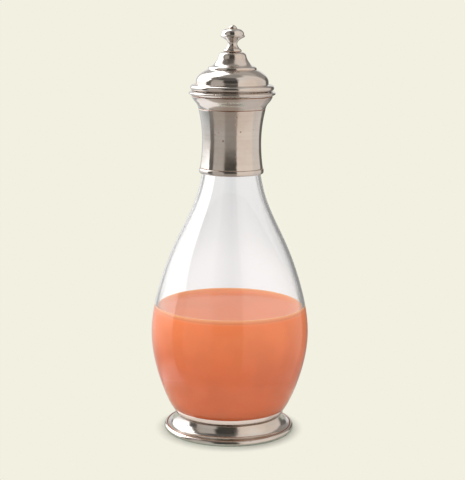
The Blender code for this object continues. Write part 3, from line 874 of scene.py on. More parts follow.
@dataclass
class GlassVessel(Turned):
    """The blown bottle: rings of its body above its base, and rings of its neck below its rim."""

    node: ClassVar[str] = "glass_vessel"
    body: tuple[Point, ...] = ((0.0330, 0.0), (0.0390, 0.0040), (0.0487, 0.0220), (0.0574, 0.0632),
                               (0.0523, 0.0960))
    neck: tuple[Point, ...] = ((0.0410, 0.0999), (0.0288, 0.0739), (0.0243, 0.0619), (0.0213, 0.0489),
                               (0.0187, 0.0259))
    height: float = 0.2279
    wall: float = 0.0020
    seat_inner_radius: float = 0.0250
    kick: float = 0.0026
    base_thickness: float = 0.0063
    floor_radius: float = 0.0325
    floor_rise: float = 0.0038
    inner_heel_wall: float = 0.0031
    inner_heel_rise: float = 0.0034
    inner_wall_rise: float = 0.0150
    # Where the ring of painted light lies on the glass.
    painted_light_low: float = 0.0036
    painted_light_high: float = 0.0084
    painted_light_radius: float = 0.0375
    spacing: float = 0.0016
    segments: int = 256

    def side(self) -> list[Point]:
        """Outer side of the glass.

        Returns:
            The side from the seat up to the rim, heights above the base.
        """
        rings = list(self.body) + [(r, self.height - drop) for r, drop in self.neck]
        curve = curve_through(rings, self.spacing, start=(1, 0), end=(0, 1))
        return curve + [(self.neck[-1][0], self.height)]

    def inside(self) -> list[Point]:
        """Inner side of the glass.

        Returns:
            The side from the middle of the floor up to the rim, heights above the base.
        """
        side = self.side()
        heel = self.base_thickness + self.inner_heel_rise
        wall = between(offset(side, -self.wall), self.base_thickness + self.inner_wall_rise,
                       self.height - self.wall / 2)
        stations = [(self.floor_radius, self.base_thickness),
                    (radius_at(side, heel) - self.inner_heel_wall, heel), wall[0]]
        rise = tuple(np.subtract(wall[1], wall[0]))
        floor_curve = curve_through(stations, self.spacing / 2, start=(1, 0), end=rise)
        floor_top = (0.0, self.base_thickness + self.floor_rise)
        dome = curve_through([floor_top, floor_curve[0]], self.spacing, start=(1, 0), end=(1, 0))
        return dome[:-1] + floor_curve[:-1] + wall

    def outline(self) -> list[Point]:
        """Section of the bottle.

        Returns:
            The outline from the middle of the inner floor, over the rim and down to the middle of the base.
        """
        side = self.side()
        rim_round = self.wall / 2
        rim = arc((self.neck[-1][0] - rim_round, self.height - rim_round), (rim_round, rim_round),
                  start=180, end=0, steps=10)
        outside = between(side, 0.0, self.height - self.wall)
        seat_ring = [(self.body[0][0], 0.0)]
        underside = curve_through([(self.seat_inner_radius, 0.0), (0.0, self.kick)], self.spacing,
                                  start=(-1, 0.4), end=(-1, 0))
        return raised(self.inside() + rim + outside[::-1] + seat_ring + underside, self.base)

    def build(self) -> None:
        """Turns the bottle and dresses it."""
        # Heights and radius of the ring of painted light.
        heel = (self.base + self.painted_light_low, self.base + self.painted_light_high, self.painted_light_radius)
        finish = self.finishes.glass.material("blown_glass", self.finishes.effects, heel)
        bottle = turn("glass_bottle", self.outline(), False, self.segments)
        seat(bottle, [finish], Body.CARAFE, Slot.GLASS, self.node)


@dataclass
class Drink:
    """The juice in the bottle, which climbs the wall a little where it wets it."""

    finishes: Finishes
    vessel: GlassVessel
    level: float = 0.0904
    climb: float = 0.0030
    climb_width: float = 0.0024
    climb_reach: float = 4.5
    sink: float = 0.00008
    clear_gap: float = 0.00015
    clear_height: float = 0.0070
    clear_blend: float = 0.0008
    # Reach of the painted light where the juice climbs the wall.
    film_depth: float = 0.0036
    film_width: float = 0.0030
    film_fall: float = 0.8
    body_gloss: Point = (0.35, 0.1)
    top_gloss: Point = (0.06, 0.12)
    top_slope: float = 0.15
    surface_points: int = 9
    meniscus_points: int = 26
    segments: int = 224

    def outline(self) -> tuple[list[Point], Point]:
        """Section of the juice.

        Returns:
            The outline from the middle of the top to the middle of the bottom, and its edge on the wall.
        """
        inner = raised(self.vessel.inside(), self.vessel.base)
        wetted = []
        for near, (r, z) in zip(offset(inner, 1.0), inner):
            high = (z - self.vessel.base - self.clear_height) / self.clear_blend
            sink = mix(-self.clear_gap, self.sink, min(max(high, 0.0), 1.0))
            wetted.append((r + (near[0] - r) * sink, z + (near[1] - z) * sink))
        wetted[0] = (0.0, wetted[0][1])
        top = self.level + self.climb
        edge = (radius_at(wetted, top), top)
        side = [p for p in wetted if p[1] < top]
        meniscus = [(edge[0] - x, self.level + self.climb * math.exp(-x / self.climb_width))
                    for x in np.linspace(self.climb_reach * self.climb_width, 0, self.meniscus_points)]
        surface = [(r, self.level) for r in np.linspace(0, meniscus[0][0], self.surface_points)[:-1]]
        return surface + meniscus + side[::-1], edge

    def build(self) -> None:
        """Turns the juice and dresses its side, its top and the film that clings to the wall, which is
        painted paler as painted light.
        """
        outline, edge = self.outline()
        piece = turn("drink", outline, False, self.segments)
        radii, heights = vertex_rings(piece)
        wall = np.interp(heights, [p[1] for p in outline[::-1]], [p[0] for p in outline[::-1]])
        # Painted light: paler up the side near the wall's top, and round the edge of the top.
        side_painted_light = np.clip(1 - (edge[1] - heights) / self.film_depth, 0, 1)
        top_painted_light = np.exp(-((edge[0] - radii) / self.film_width) ** 2)
        film = np.where(radii > wall - self.sink, side_painted_light, top_painted_light)
        write_attribute(piece, PAINTED_FILM_LIGHT, film ** self.film_fall)
        juice, effects = self.finishes.juice, self.finishes.effects
        # The top's material is the same juice, darkened by painted shade.
        seat(piece, [juice.material("juice_body", effects, *self.body_gloss),
                     juice.material("juice_top", effects, *self.top_gloss, True)], Body.CARAFE)
        for polygon in piece.data.polygons:
            if polygon.center.z > self.level - self.sink and polygon.normal.z > self.top_slope:
                polygon.material_index = 1


@dataclass
class RingFoot(Turned):
    """The turned foot: a thin rim round the glass, a hollow flare and a spread lip."""

    node: ClassVar[str] = "foot"
    vessel: GlassVessel
    shelf_height: float = 0.0077
    shelf_thickness: float = 0.0013
    shelf_width: float = 0.0075
    rim_wall: float = 0.0004
    bead_height: float = 0.0009
    rim_rise: float = 0.0010
    wall: float = 0.0015
    spread: float = 0.0082
    flare_start: float = 0.20
    flare_knee: Point = (0.172, 0.434)
    flare_heel: Point = (0.567, 0.868)
    flare_end: float = 5.0
    lip_height: float = 0.0037
    lip_width: float = 0.0027
    lip_edge_height: float = 0.0012
    ring_width: float = 0.0026
    groove_depth: float = 0.00045
    # Patina in the groove, spread wide so that it also stands in as a painted reflection of the juice.
    groove_stain: float = 0.0008
    rim_stain: Point = (0.0005, 0.54)
    bead_stain: Point = (0.0005, 0.40)
    rim_points: int = 6
    rim_lining_points: int = 4

    def outline(self) -> tuple[list[Point], list[Crevice]]:
        """Section of the foot.

        Returns:
            The outline from the rim's top down the outside and back up inside, and its crevices.
        """
        heel = [p for p in self.vessel.side() if p[1] <= self.vessel.body[1][1]]
        pocket = raised(offset(heel, SEAT_GAP), self.vessel.base)
        bore, top = pocket[-1]
        waist = bore + self.rim_wall
        lip = waist + self.spread
        groove = lip - self.lip_width
        side = raised(self.vessel.side(), self.vessel.base)
        rim = [(radius_at(side, z) + SEAT_GAP + self.rim_wall, z)
               for z in np.linspace(top + self.rim_rise, top - self.bead_height, self.rim_points)]
        rim = [(radius_at(side, rim[0][1]) + SEAT_GAP, rim[0][1])] + rim
        flare_top = rim[-1][1]
        flare = self.flare((rim[-1][0], flare_top), (groove, self.lip_height))
        notch = [(groove + GROOVE_WIDTH / 2, self.lip_height - self.groove_depth)]
        lip_round = self.lip_width - GROOVE_WIDTH
        edge = arc((lip - lip_round, self.lip_edge_height),
                   (lip_round, self.lip_height - self.lip_edge_height), start=90, end=0, steps=14)
        ring = [(lip - self.lip_edge_height / 2, 0.0), (lip - self.ring_width, 0.0)]
        shelf_bottom = self.shelf_height - self.shelf_thickness
        hollow = between(offset(flare, self.wall)[::-1], self.lip_edge_height, shelf_bottom - SEAT_GAP)
        shelf_outer = self.vessel.body[0][0] + BEDDING
        shelf_inner = shelf_outer - self.shelf_width
        shelf = [(radius_at(hollow, shelf_bottom) - self.wall, shelf_bottom), (shelf_inner, shelf_bottom),
                 (shelf_inner, self.shelf_height), (shelf_outer, self.shelf_height)]
        inside = [p for p in pocket[:-1] if p[0] > shelf_outer]
        inside += [(radius_at(side, z) + SEAT_GAP, z)
                   for z in np.linspace(top, top + self.rim_rise, self.rim_lining_points)[:-1]]
        section = rim + flare[1:] + notch + edge + ring + hollow + shelf + inside
        # The groove's wide stain is patina and a painted reflection of the juice.
        crevices = [Crevice(*notch[0], self.groove_stain), Crevice(*rim[-1], *self.rim_stain)]
        crevices += [Crevice(*p, *self.bead_stain) for p in rim[2:-1]]
        return section, crevices

    def flare(self, top: Point, foot: Point) -> list[Point]:
        """Outer side that leaves the rim nearly upright and lies nearly flat where it meets the groove.

        Args:
            top: Where it leaves the rim.
            foot: Where it meets the groove.

        Returns:
            The side from top to foot.
        """
        stations = [top] + [(mix(top[0], foot[0], r), mix(top[1], foot[1], z))
                            for r, z in (self.flare_knee, self.flare_heel)] + [foot]
        return curve_through(stations, FINE_SPACING, start=(self.flare_start, -1), end=(self.flare_end, -1))

    def build(self) -> None:
        """Turns the foot and dresses it."""
        self.pewter("ring_foot", "foot_pewter", self.node, Body.CARAFE, *self.outline())


@dataclass
class NeckCollar(Turned):
    """The waisted sleeve on the neck, with its cup and lip, which are also the pouring mouth."""

    node: ClassVar[str] = "neck_collar"
    vessel: GlassVessel
    corner: float = 0.00022
    bore_depth: float = 0.0471
    seal_height: float = 0.0022
    wall: float = 0.0013
    skirt_wall: float = 0.0021
    skirt_bead_height: float = 0.0037
    skirt_bead_stand: float = 0.0006
    skirt_bead_round: float = 0.0006
    waist_height: float = 0.0226
    cup_neck_spread: float = 0.0029
    cup_groove_height: float = 0.0462
    cup_spread: float = 0.0049
    cup_height: float = 0.0549
    cup_shoulder: Point = (0.0014, 0.0027)
    cup_throat: Point = (0.0009, 0.0024)
    groove_depth: float = 0.0004
    lip_stain: Point = (0.0007, 0.72)
    cup_stain: Point = (0.00048, 0.9)
    skirt_stain: Point = (0.0004, 0.7)
    lip_height: float = 0.0588
    lip_stand: float = 0.0020
    lip_edge_drop: float = 0.0016
    lip_edge_round: float = 0.0009
    lip_bevel: float = 0.0017
    ledge_width: float = 0.0012
    ledge_thickness: float = 0.0012
    funnel_ease: float = 0.0006
    mouth_wall: float = 0.0032
    flange_depth: float = 0.0056
    flange_clearance: float = 0.0004
    sleeve_points: int = 34

    @property
    def waist(self) -> float:
        """Outer radius at the waist."""
        return self.vessel.neck[-1][0] + 2 * SEAT_GAP + BEDDING + self.wall

    @property
    def cup(self) -> float:
        """Outer radius of the cup, just under the lip."""
        return self.waist + self.cup_neck_spread + self.cup_spread

    @property
    def lip(self) -> float:
        """Outer radius of the lip."""
        return self.cup + self.lip_stand

    @property
    def mouth(self) -> float:
        """Radius of the bore that the lid's flange drops into."""
        return self.cup - self.mouth_wall

    def neck_radius(self, height: float) -> float:
        """Outer radius of the glass at a height above the collar's bottom edge."""
        return radius_at(self.vessel.side(), height + self.base - self.vessel.base)

    def skirt(self) -> float:
        """Outer radius of the sleeve just above its bottom bead."""
        return self.neck_radius(self.skirt_bead_height) + SEAT_GAP + self.skirt_wall

    def sleeve_radius(self, height: float) -> float:
        """Outer radius of the sleeve, which widens as a parabola both ways from its waist.

        Args:
            height: Height above the collar's bottom edge.

        Returns:
            The radius there.
        """
        if height > self.waist_height:
            reach = (height - self.waist_height) / (self.cup_groove_height - self.waist_height)
            return self.waist + self.cup_neck_spread * reach ** 2
        reach = (self.waist_height - height) / (self.waist_height - self.skirt_bead_height)
        return mix(self.waist, self.skirt(), reach ** 2)

    def outside(self) -> tuple[list[Point], list[Crevice]]:
        """Outer side of the collar.

        Returns:
            The side from the lip's top to the bottom edge, and its crevices.
        """
        half = GROOVE_WIDTH / 2
        cup_neck = self.waist + self.cup_neck_spread
        top = [(self.mouth, self.lip_height), (self.lip - self.lip_bevel, self.lip_height)]
        edge = arc((self.lip - self.lip_edge_round, self.lip_height - self.lip_edge_drop),
                   (self.lip_edge_round, self.lip_edge_round), start=60, end=-45, steps=10)
        lip_groove = [(self.cup - self.groove_depth, self.cup_height + half)]
        bottom = self.cup_groove_height + half
        cup_side = curve_through([(self.cup, self.cup_height),
                                  (self.cup - self.cup_shoulder[0], self.cup_height - self.cup_shoulder[1]),
                                  (cup_neck + self.cup_throat[0], bottom + self.cup_throat[1]),
                                  (cup_neck, bottom)], SPACING, start=(-0.35, -1), end=(-0.25, -1))
        cup_groove = [(cup_neck - self.groove_depth, self.cup_groove_height)]
        heights = np.linspace(self.cup_groove_height - half, self.skirt_bead_height + half,
                              self.sleeve_points)
        sleeve = [(self.sleeve_radius(h), h) for h in heights]
        skirt_groove = [(self.skirt() - self.groove_depth / 2, self.skirt_bead_height)]
        bead = self.skirt() + self.skirt_bead_stand
        skirt_bead = arc((bead - self.skirt_bead_round, self.skirt_bead_height / 2),
                         (self.skirt_bead_round, self.skirt_bead_height / 2), start=65, end=-60, steps=10)
        skirt_edge = [(bead - self.skirt_bead_round, 0.0)]
        crevices = [Crevice(*lip_groove[0], *self.lip_stain), Crevice(*cup_groove[0], *self.cup_stain),
                    Crevice(*skirt_groove[0], *self.skirt_stain)]
        return (top + edge + lip_groove + cup_side + cup_groove + sleeve + skirt_groove + skirt_bead
                + skirt_edge), crevices

    def round_the_neck(self, clearance: float, low: float, high: float, steps: int) -> list[Point]:
        """Outline that stays clear of the neck, from low to high."""
        return [(self.neck_radius(h) + clearance, h) for h in np.linspace(low, high, steps + 1)]

    def inside(self) -> list[Point]:
        """Inner side of the collar.

        Returns:
            The side from the bottom edge, round the neck and up the funnel to the mouth.
        """
        seal = self.round_the_neck(SEAT_GAP, 0.0, self.seal_height, steps=2)
        bore = self.round_the_neck(2 * SEAT_GAP + BEDDING, self.seal_height, self.bore_depth, steps=16)
        ledge = self.vessel.neck[-1][0] - self.ledge_width
        ledge_top = self.bore_depth + self.ledge_thickness
        mouth_floor = self.lip_height - self.flange_depth - self.flange_clearance
        funnel = curve_through([(ledge + self.funnel_ease, ledge_top), (self.mouth, mouth_floor)], SPACING,
                               start=(1, 0.25), end=(0.5, 1))
        return seal + bore + [(ledge, self.bore_depth), (ledge, ledge_top - self.funnel_ease)] + funnel

    def build(self) -> None:
        """Turns the collar and dresses it."""
        outside, crevices = self.outside()
        self.pewter("pewter_collar", "collar_pewter", self.node, Body.CARAFE, outside + self.inside(),
                    crevices, self.corner)


@dataclass
class Lid(Turned):
    """The domed lid and the flange under it, heights above the underside of its rim."""

    node: ClassVar[str] = "lid_dome"
    collar: NeckCollar
    rim_set_in: float = 0.0011
    rim_bead_height: float = 0.0041
    rim_land: float = 0.0005
    dome_set_in: float = 0.0040
    dome_foot_height: float = 0.0062
    dome_shoulder: Point = (0.87, 0.0096)
    dome_slope: Point = (0.50, 0.0127)
    groove_stain: Point = (0.00035, 0.45)
    bead_stain: Point = (0.0006, 0.85)
    step_stain: Point = (0.0004, 0.5)
    step_radius: float = 0.0173
    step_base_height: float = 0.0149
    step_width: float = 0.0022
    step_land_height: float = 0.0007
    step_round_height: float = 0.0016
    bell: Point = (0.0101, 0.0234)
    bell_flare: Point = (0.0018, 0.0032)
    bell_spacing: float = 0.0005
    crown_radius: float = 0.0074
    crown_edge: Point = (0.0008, 0.0012)
    height: float = 0.0269
    wall: float = 0.0017
    crown_thickness: float = 0.0017
    crown_inside_radius: float = 0.0060
    hole_radius: float = 0.0023
    flange_wall: float = 0.0014
    flange_edge: float = 0.0005
    socket_depth: float = 0.0027
    socket_land: float = 0.0012
    flange_segments: int = 192

    @property
    def rim(self) -> float:
        """Outer radius of the lid's rim."""
        return self.collar.lip - self.rim_set_in

    @property
    def flange_radius(self) -> float:
        """Outer radius of the locating flange."""
        return self.collar.mouth - self.collar.flange_clearance

    def outside(self) -> dict[str, list[Point]]:
        """Outer side of the dome.

        Returns:
            Its stretches by name, in order from the top down, and each from top to bottom.
        """
        foot = self.rim - self.dome_set_in
        step_top = (self.step_radius - self.step_width,
                    self.step_base_height + self.step_land_height + self.step_round_height)
        bell = curve_through([(self.crown_radius, self.height),
                              (self.bell[0] - self.crown_edge[0], self.height - self.crown_edge[1]),
                              self.bell,
                              (self.bell[0] + self.bell_flare[0], self.bell[1] - self.bell_flare[1]),
                              step_top], self.bell_spacing, start=(1, -0.1), end=(1, -0.35))
        step = arc((step_top[0], self.step_base_height + self.step_land_height),
                   (self.step_width, self.step_round_height), start=75, end=0, steps=9)
        dome = curve_through([(self.step_radius, self.step_base_height),
                              (mix(self.step_radius, foot, self.dome_slope[0]), self.dome_slope[1]),
                              (mix(self.step_radius, foot, self.dome_shoulder[0]), self.dome_shoulder[1]),
                              (foot, self.dome_foot_height)], SPACING, start=(1, -0.4), end=(0, -1))
        half = self.rim_bead_height / 2
        groove = [(foot, self.rim_bead_height + GROOVE_WIDTH / 2)]
        bead = arc((self.rim - half, half), (half, half), start=100, end=-50, steps=18)
        return {"bell": bell, "step": step, "dome": dome, "groove": groove, "bead": bead}

    def outline(self) -> tuple[list[Point], list[Crevice]]:
        """Ring section of the dome.

        Returns:
            The outline from the crown's hole down the outside and back up inside, and its crevices.
        """
        parts = self.outside()
        socket = self.flange_radius + SEAT_GAP
        underside = [(parts["bead"][-1][0] - self.rim_land, 0.0)]
        outside = [(self.hole_radius, self.height)] + sum(parts.values(), []) + underside
        land = min(socket - self.socket_land, parts["dome"][-1][0] - self.wall)
        crown_inside = self.height - self.crown_thickness
        inside = [(socket, 0.0), (socket, self.socket_depth), (land, self.socket_depth)]
        inside += [p for p in offset(parts["dome"], self.wall)[-3::-1] if p[0] < land]
        inside += [p for p in offset(parts["bell"], self.wall)[::-1]
                   if self.crown_inside_radius < p[0] < inside[-1][0] - self.wall / 2
                   and p[1] < crown_inside - SEAT_GAP]
        inside += [(self.crown_inside_radius, crown_inside), (self.hole_radius, crown_inside)]
        crevices = [Crevice(*parts["groove"][0], *self.groove_stain),
                    Crevice(parts["bead"][-1][0], 0.0, *self.bead_stain),
                    Crevice(self.step_radius, self.step_base_height, *self.step_stain)]
        return outside + inside, crevices

    def flange_outline(self) -> list[Point]:
        """Ring section of the flange.

        Returns:
            The outline from its inner top edge, with chamfers at the bottom.
        """
        outer = self.flange_radius
        inner = outer - self.flange_wall
        top = self.socket_depth - SEAT_GAP
        bottom = SEAT_GAP - self.collar.flange_depth
        return [(inner, top), (outer, top), (outer, bottom + self.flange_edge),
                (outer - self.flange_edge, bottom), (inner + self.flange_edge, bottom),
                (inner, bottom + self.flange_edge)]

    def build(self) -> None:
        """Turns the dome and the flange and dresses them."""
        self.pewter("pewter_lid", "lid_pewter", self.node, Body.LID, *self.outline(), self.collar.corner)
        self.pewter("locating_flange", "flange_pewter", "lid_flange", Body.LID, self.flange_outline(), [],
                    segments=self.flange_segments)


@dataclass
class Finial(Turned):
    """The turned knob on its stud, heights above its own base."""

    node: ClassVar[str] = "finial"
    lid: Lid
    base_radius: float = 0.0065
    base_height: float = 0.0021
    base_set_in: float = 0.0002
    neck: Point = (0.0033, 0.0060)
    bun: Point = (0.0089, 0.0112)
    edge_stand: float = 0.0008
    edge_height: float = 0.0009
    bun_top: Point = (0.0045, 0.0161)
    bun_shoulder: Point = (0.85, 0.62)
    stem_hollow: Point = (0.24, 0.40)
    stem_swell: Point = (0.30, 0.36)
    stem_foot_share: float = 0.78
    button_radius: float = 0.0030
    height: float = 0.0189
    stud_radius: float = 0.0020
    stud_length: float = 0.0078
    stud_chamfer: float = 0.0003
    stain: Point = (0.0005, 0.0006)

    @property
    def base(self) -> float:
        """Height of the finial's base in the world, on the crown of the lid."""
        return self.lid.base + self.lid.height + SEAT_GAP

    def outline(self) -> tuple[list[Point], list[Crevice]]:
        """Section of the finial.

        Returns:
            The outline from the button's tip down to the end of the stud, and its crevices.
        """
        body = self.bun[0] - self.edge_stand
        neck_r, neck_z = self.neck
        top_r, top_z = self.bun_top
        button = curve_through([(0.0, self.height), (self.button_radius, top_z + SEAT_GAP)], FINE_SPACING,
                               start=(1, 0), end=(0.1, -1))
        shoulder = (mix(top_r, body, self.bun_shoulder[0]), mix(self.bun[1], top_z, self.bun_shoulder[1]))
        bun = curve_through([self.bun_top, shoulder, (body, self.bun[1] + self.edge_height)], FINE_SPACING,
                            start=(1, -0.15), end=(0, -1))
        hollow = (mix(neck_r, body, self.stem_hollow[0]), mix(neck_z, self.bun[1], self.stem_hollow[1]))
        swell = (mix(neck_r, self.base_radius, self.stem_swell[0]),
                 mix(self.base_height, neck_z, self.stem_swell[1]))
        foot = (mix(neck_r, self.base_radius, self.stem_foot_share), self.base_height)
        stem = curve_through([(body, self.bun[1] - self.edge_height), hollow, self.neck, swell, foot],
                             FINE_SPACING, start=(-1, -0.5), end=(1, -0.6))
        base = [(self.base_radius, self.base_height / 2), (self.base_radius - self.base_set_in, 0.0)]
        stud = [(self.stud_radius, 0.0), (self.stud_radius, self.stud_chamfer - self.stud_length),
                (self.stud_radius - self.stud_chamfer, -self.stud_length), (0.0, -self.stud_length)]
        crevices = [Crevice(self.button_radius, top_z, self.stain[0]),
                    Crevice(self.base_radius, 0.0, self.stain[1])]
        return button + bun + [self.bun] + stem + base + stud, crevices

    def build(self) -> None:
        """Turns the finial and dresses it."""
        self.pewter("turned_finial", "finial_pewter", self.node, Body.LID, *self.outline(), reach=0.0003,
                    closed=False, steps=4, segments=128, dent_scale=160.0)


@dataclass
class HiddenParts:
    """The compound that sets the glass, and the washer and nut inside the lid."""

    finishes: Finishes
    corner: float = 0.0001
    segments: int = 96

    def ring(self, node: str, name: str, inner_radius: float, look: Look, body: Body,
             slot: Slot) -> None:
        """Makes the turned flat ring that fills the space of a solid.

        Args:
            node: The solid.
            name: Name of the ring.
            inner_radius: Radius of its hole.
            look: Its material.
            body: The body that it rides on.
            slot: Its material slot, passed on to seat.
        """
        low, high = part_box(node)
        section = [(inner_radius, high.z), (high.x, high.z), (high.x, low.z), (inner_radius, low.z)]
        piece = turn(name, eased(section, self.corner, True), True, self.segments)
        seat(piece, [look], body, slot, node)

    def dress(self, node: str, finish: Look) -> None:
        """Gives a solid of the frame its finish.

        Args:
            node: The solid.
            finish: Its material.
        """
        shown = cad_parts[node]
        shown.data.materials.clear()
        shown.data.materials.append(finish)
        log.info("%s: dressed where it stands", node)

    def build(self, foot: RingFoot, finial: Finial) -> None:
        """Makes the ring of compound and the washer, and dresses the sleeve of compound and the nut.

        Args:
            foot: The foot, whose shelf carries the ring of compound.
            finial: The finial, whose stud the washer goes round.
        """
        effects, compound, steel = self.finishes.effects, self.finishes.compound, self.finishes.steel
        hole = foot.vessel.body[0][0] + BEDDING - foot.shelf_width + SEAT_GAP
        self.ring("foot_bedding", "bedding_ring", hole, compound.material("foot_compound", effects),
                  Body.CARAFE, Slot.COMPOUND)
        self.ring("finial_washer", "steel_washer", finial.stud_radius + SEAT_GAP,
                  steel.material("washer_steel", effects), Body.LID, Slot.STEEL)
        self.dress("collar_bedding", compound.material("collar_compound", effects))
        self.dress("finial_nut", steel.material("nut_steel", effects))


@dataclass
class Studio:
    """Floor, surroundings, lamps and camera.

    A wall is a row of stretches, as polished metal or glass shows them. Each gives its start and end, in
    degrees to the right of the way to the camera, or of the way ahead in through, and its colour. An edge
    is where a wall blends in over the one below, in degrees above level.
    """

    backdrop: Colour = (0.888, 0.871, 0.753)
    through_high: Colour = (0.85, 0.835, 0.83)
    through_low: Colour = (1.03, 0.985, 0.985)
    through_rise: Point = (-0.200, -0.145)
    through: tuple[Row, ...] = (
        (-180, -50, 0.80, 0.80, 0.80), (-42, -21, 0.35, 0.35, 0.35), (-16, -0.75, 1.00, 1.00, 1.00),
        (-0.55, 0.25, 0.90, 0.90, 0.91), (0.45, 11, 1.00, 1.00, 1.00), (15, 40, 0.46, 0.46, 0.46),
        (50, 180, 0.80, 0.80, 0.80))
    soft_light: Colour = (1.02, 1.00, 0.98)
    table_tint: Colour = (0.58, 0.635, 0.565)
    table_roughness: float = 0.9
    shown_table: Point = (0.0470, 0.0590)
    shadow_step: float = 0.0030
    shadow_squeeze: float = 1.05
    mirrored_table: Point = (0.080, 0.115)
    edge: float = 2.5
    ground: tuple[Row, ...] = (
        (-180, -95, 1.30, 1.27, 1.25), (-78, -60, 0.58, 0.52, 0.46), (-30, 20, 0.46, 0.39, 0.34),
        (50, 130, 0.74, 0.67, 0.62), (150, 180, 0.80, 0.76, 0.72))
    lower_edge: Point = (-38, -29)
    lower: tuple[Row, ...] = (
        (-180, -154, 0.50, 0.50, 0.50), (-151, -93, 0.30, 0.34, 0.34), (-90, -73, 0.34, 0.32, 0.29),
        (-70, -29, 0.53, 0.47, 0.42), (-23, 18, 0.40, 0.35, 0.31), (21, 84, 0.90, 0.78, 0.69),
        (88, 126, 0.76, 0.68, 0.62), (131, 180, 0.50, 0.47, 0.44))
    middle_edge: Point = (-28, -10)
    middle: tuple[Row, ...] = (
        (-180, -154, 0.70, 0.70, 0.70), (-151, -93, 0.86, 0.87, 0.87), (-90, -73, 0.24, 0.22, 0.20),
        (-70, -29, 0.58, 0.535, 0.49), (-23, 18, 0.39, 0.355, 0.32), (21, 84, 1.00, 0.88, 0.78),
        (88, 130, 0.88, 0.81, 0.75), (136, 180, 0.17, 0.165, 0.15))
    upper_edge: Point = (-8, 8)
    upper: tuple[Row, ...] = (
        (-180, -162, 0.90, 0.89, 0.88), (-158, -154, 0.22, 0.22, 0.22), (-151, -93, 2.30, 2.28, 2.27),
        (-90, -73, 0.14, 0.13, 0.12), (-70, -29, 0.62, 0.57, 0.52), (-23, 18, 0.075, 0.070, 0.058),
        (21, 84, 1.03, 0.91, 0.81), (88, 130, 0.92, 0.85, 0.78), (136, 160, 0.16, 0.15, 0.14),
        (163, 180, 0.90, 0.89, 0.88))
    raised_edge: Point = (13, 19)
    raised_wall: tuple[Row, ...] = (
        (-180, -154, 0.60, 0.60, 0.60), (-151, -90, 3.20, 3.17, 3.15), (-84, -74, 0.20, 0.19, 0.17),
        (-70, -34, 0.56, 0.52, 0.47), (-28, 18, 0.065, 0.060, 0.053), (24, 84, 1.03, 0.93, 0.84),
        (88, 126, 0.92, 0.84, 0.77), (131, 180, 0.36, 0.34, 0.32))
    ceiling_edge: Point = (37, 47)
    ceiling: tuple[Row, ...] = (
        (-180, -174, 0.50, 0.49, 0.48), (-166, -108, 3.20, 3.17, 3.15), (-96, -60, 0.24, 0.22, 0.20),
        (-50, 18, 0.13, 0.12, 0.11), (30, 122, 0.95, 0.88, 0.82), (135, 180, 0.58, 0.54, 0.50))
    overhead_edge: Point = (66, 78)
    overhead: Colour = (0.38, 0.36, 0.33)
    lift: tuple[Row, ...] = (
        (-180, -154, 0.0, 0.0, 0.0), (-151, -93, 0.03, 0.03, 0.03), (-90, 180, 0.0, 0.0, 0.0))
    sink_share: float = -4.3
    sheen_slant: float = -0.0926
    sheen_edge: Point = (-0.0860, -0.0790)
    sheen_end: float = -0.35
    sheen: Colour = (1.22, 1.20, 1.19)
    lamps: tuple[tuple, ...] = (("left_softbox", (-0.95, 0.10, 0.70), 0.8, 4.3),
                                ("overhead", (0.10, -0.15, 1.30), 0.9, 3.3))
    lamp_target: Triple = (0.0, 0.0, 0.12)
    focal_length: float = 100.0
    sensor: float = 36.0
    clip: Point = (0.05, 20.0)
    tilt: float = 10.39
    lean: float = 0.605
    place: Triple = (0.00137, -0.9536, 0.3156)

    def ramp(self, nodes: Nodes, angle: Socket, wall: Sequence[Row]) -> Socket:
        """Colour of a wall by direction.

        Args:
            nodes: Helper of the world's tree.
            angle: Direction, in radians.
            wall: The wall's stretches, in order.

        Returns:
            The colour, which is even along each stretch and blends between two.
        """
        node = nodes.add("ShaderNodeValToRGB", {"Fac": nodes.math("MULTIPLY_ADD", angle, 1 / math.tau, 0.5)})
        stops = node.color_ramp.elements
        stops.remove(stops[-1])
        marks = [(at / 360 + 0.5, (*colour, 1.0)) for start, end, *colour in wall for at in (start, end)]
        stops[0].position, stops[0].color = marks[0]
        for share, colour in marks[1:]:
            stops.new(share).color = colour
        return node.outputs["Color"]

    def mirrored(self, nodes: Nodes, parts: object) -> Socket:
        """What polished metal shows of the studio.

        Args:
            nodes: Helper of the world's tree.
            parts: X, Y and Z of the direction.

        Returns:
            The colour, wall by wall from the ground up.
        """
        rise = parts["Z"]
        angle = nodes.math("ARCTAN2", parts["X"], nodes.math("MULTIPLY", parts["Y"], -1.0))
        lift = self.ramp(nodes, angle, self.lift)
        lifted = nodes.math("ADD", rise, lift)
        sunk = nodes.math("MULTIPLY_ADD", lift, self.sink_share, rise)
        seen = self.ramp(nodes, angle, self.ground)
        for height, edge, wall in ((sunk, self.lower_edge, self.lower), (rise, self.middle_edge, self.middle),
                                   (lifted, self.upper_edge, self.upper),
                                   (rise, self.raised_edge, self.raised_wall),
                                   (rise, self.ceiling_edge, self.ceiling),
                                   (rise, self.overhead_edge, None)):
            mask = nodes.ranged(height, *(math.sin(math.radians(degrees)) for degrees in edge))
            seen = nodes.blend(mask, seen, self.ramp(nodes, angle, wall) if wall else self.overhead)
        return seen

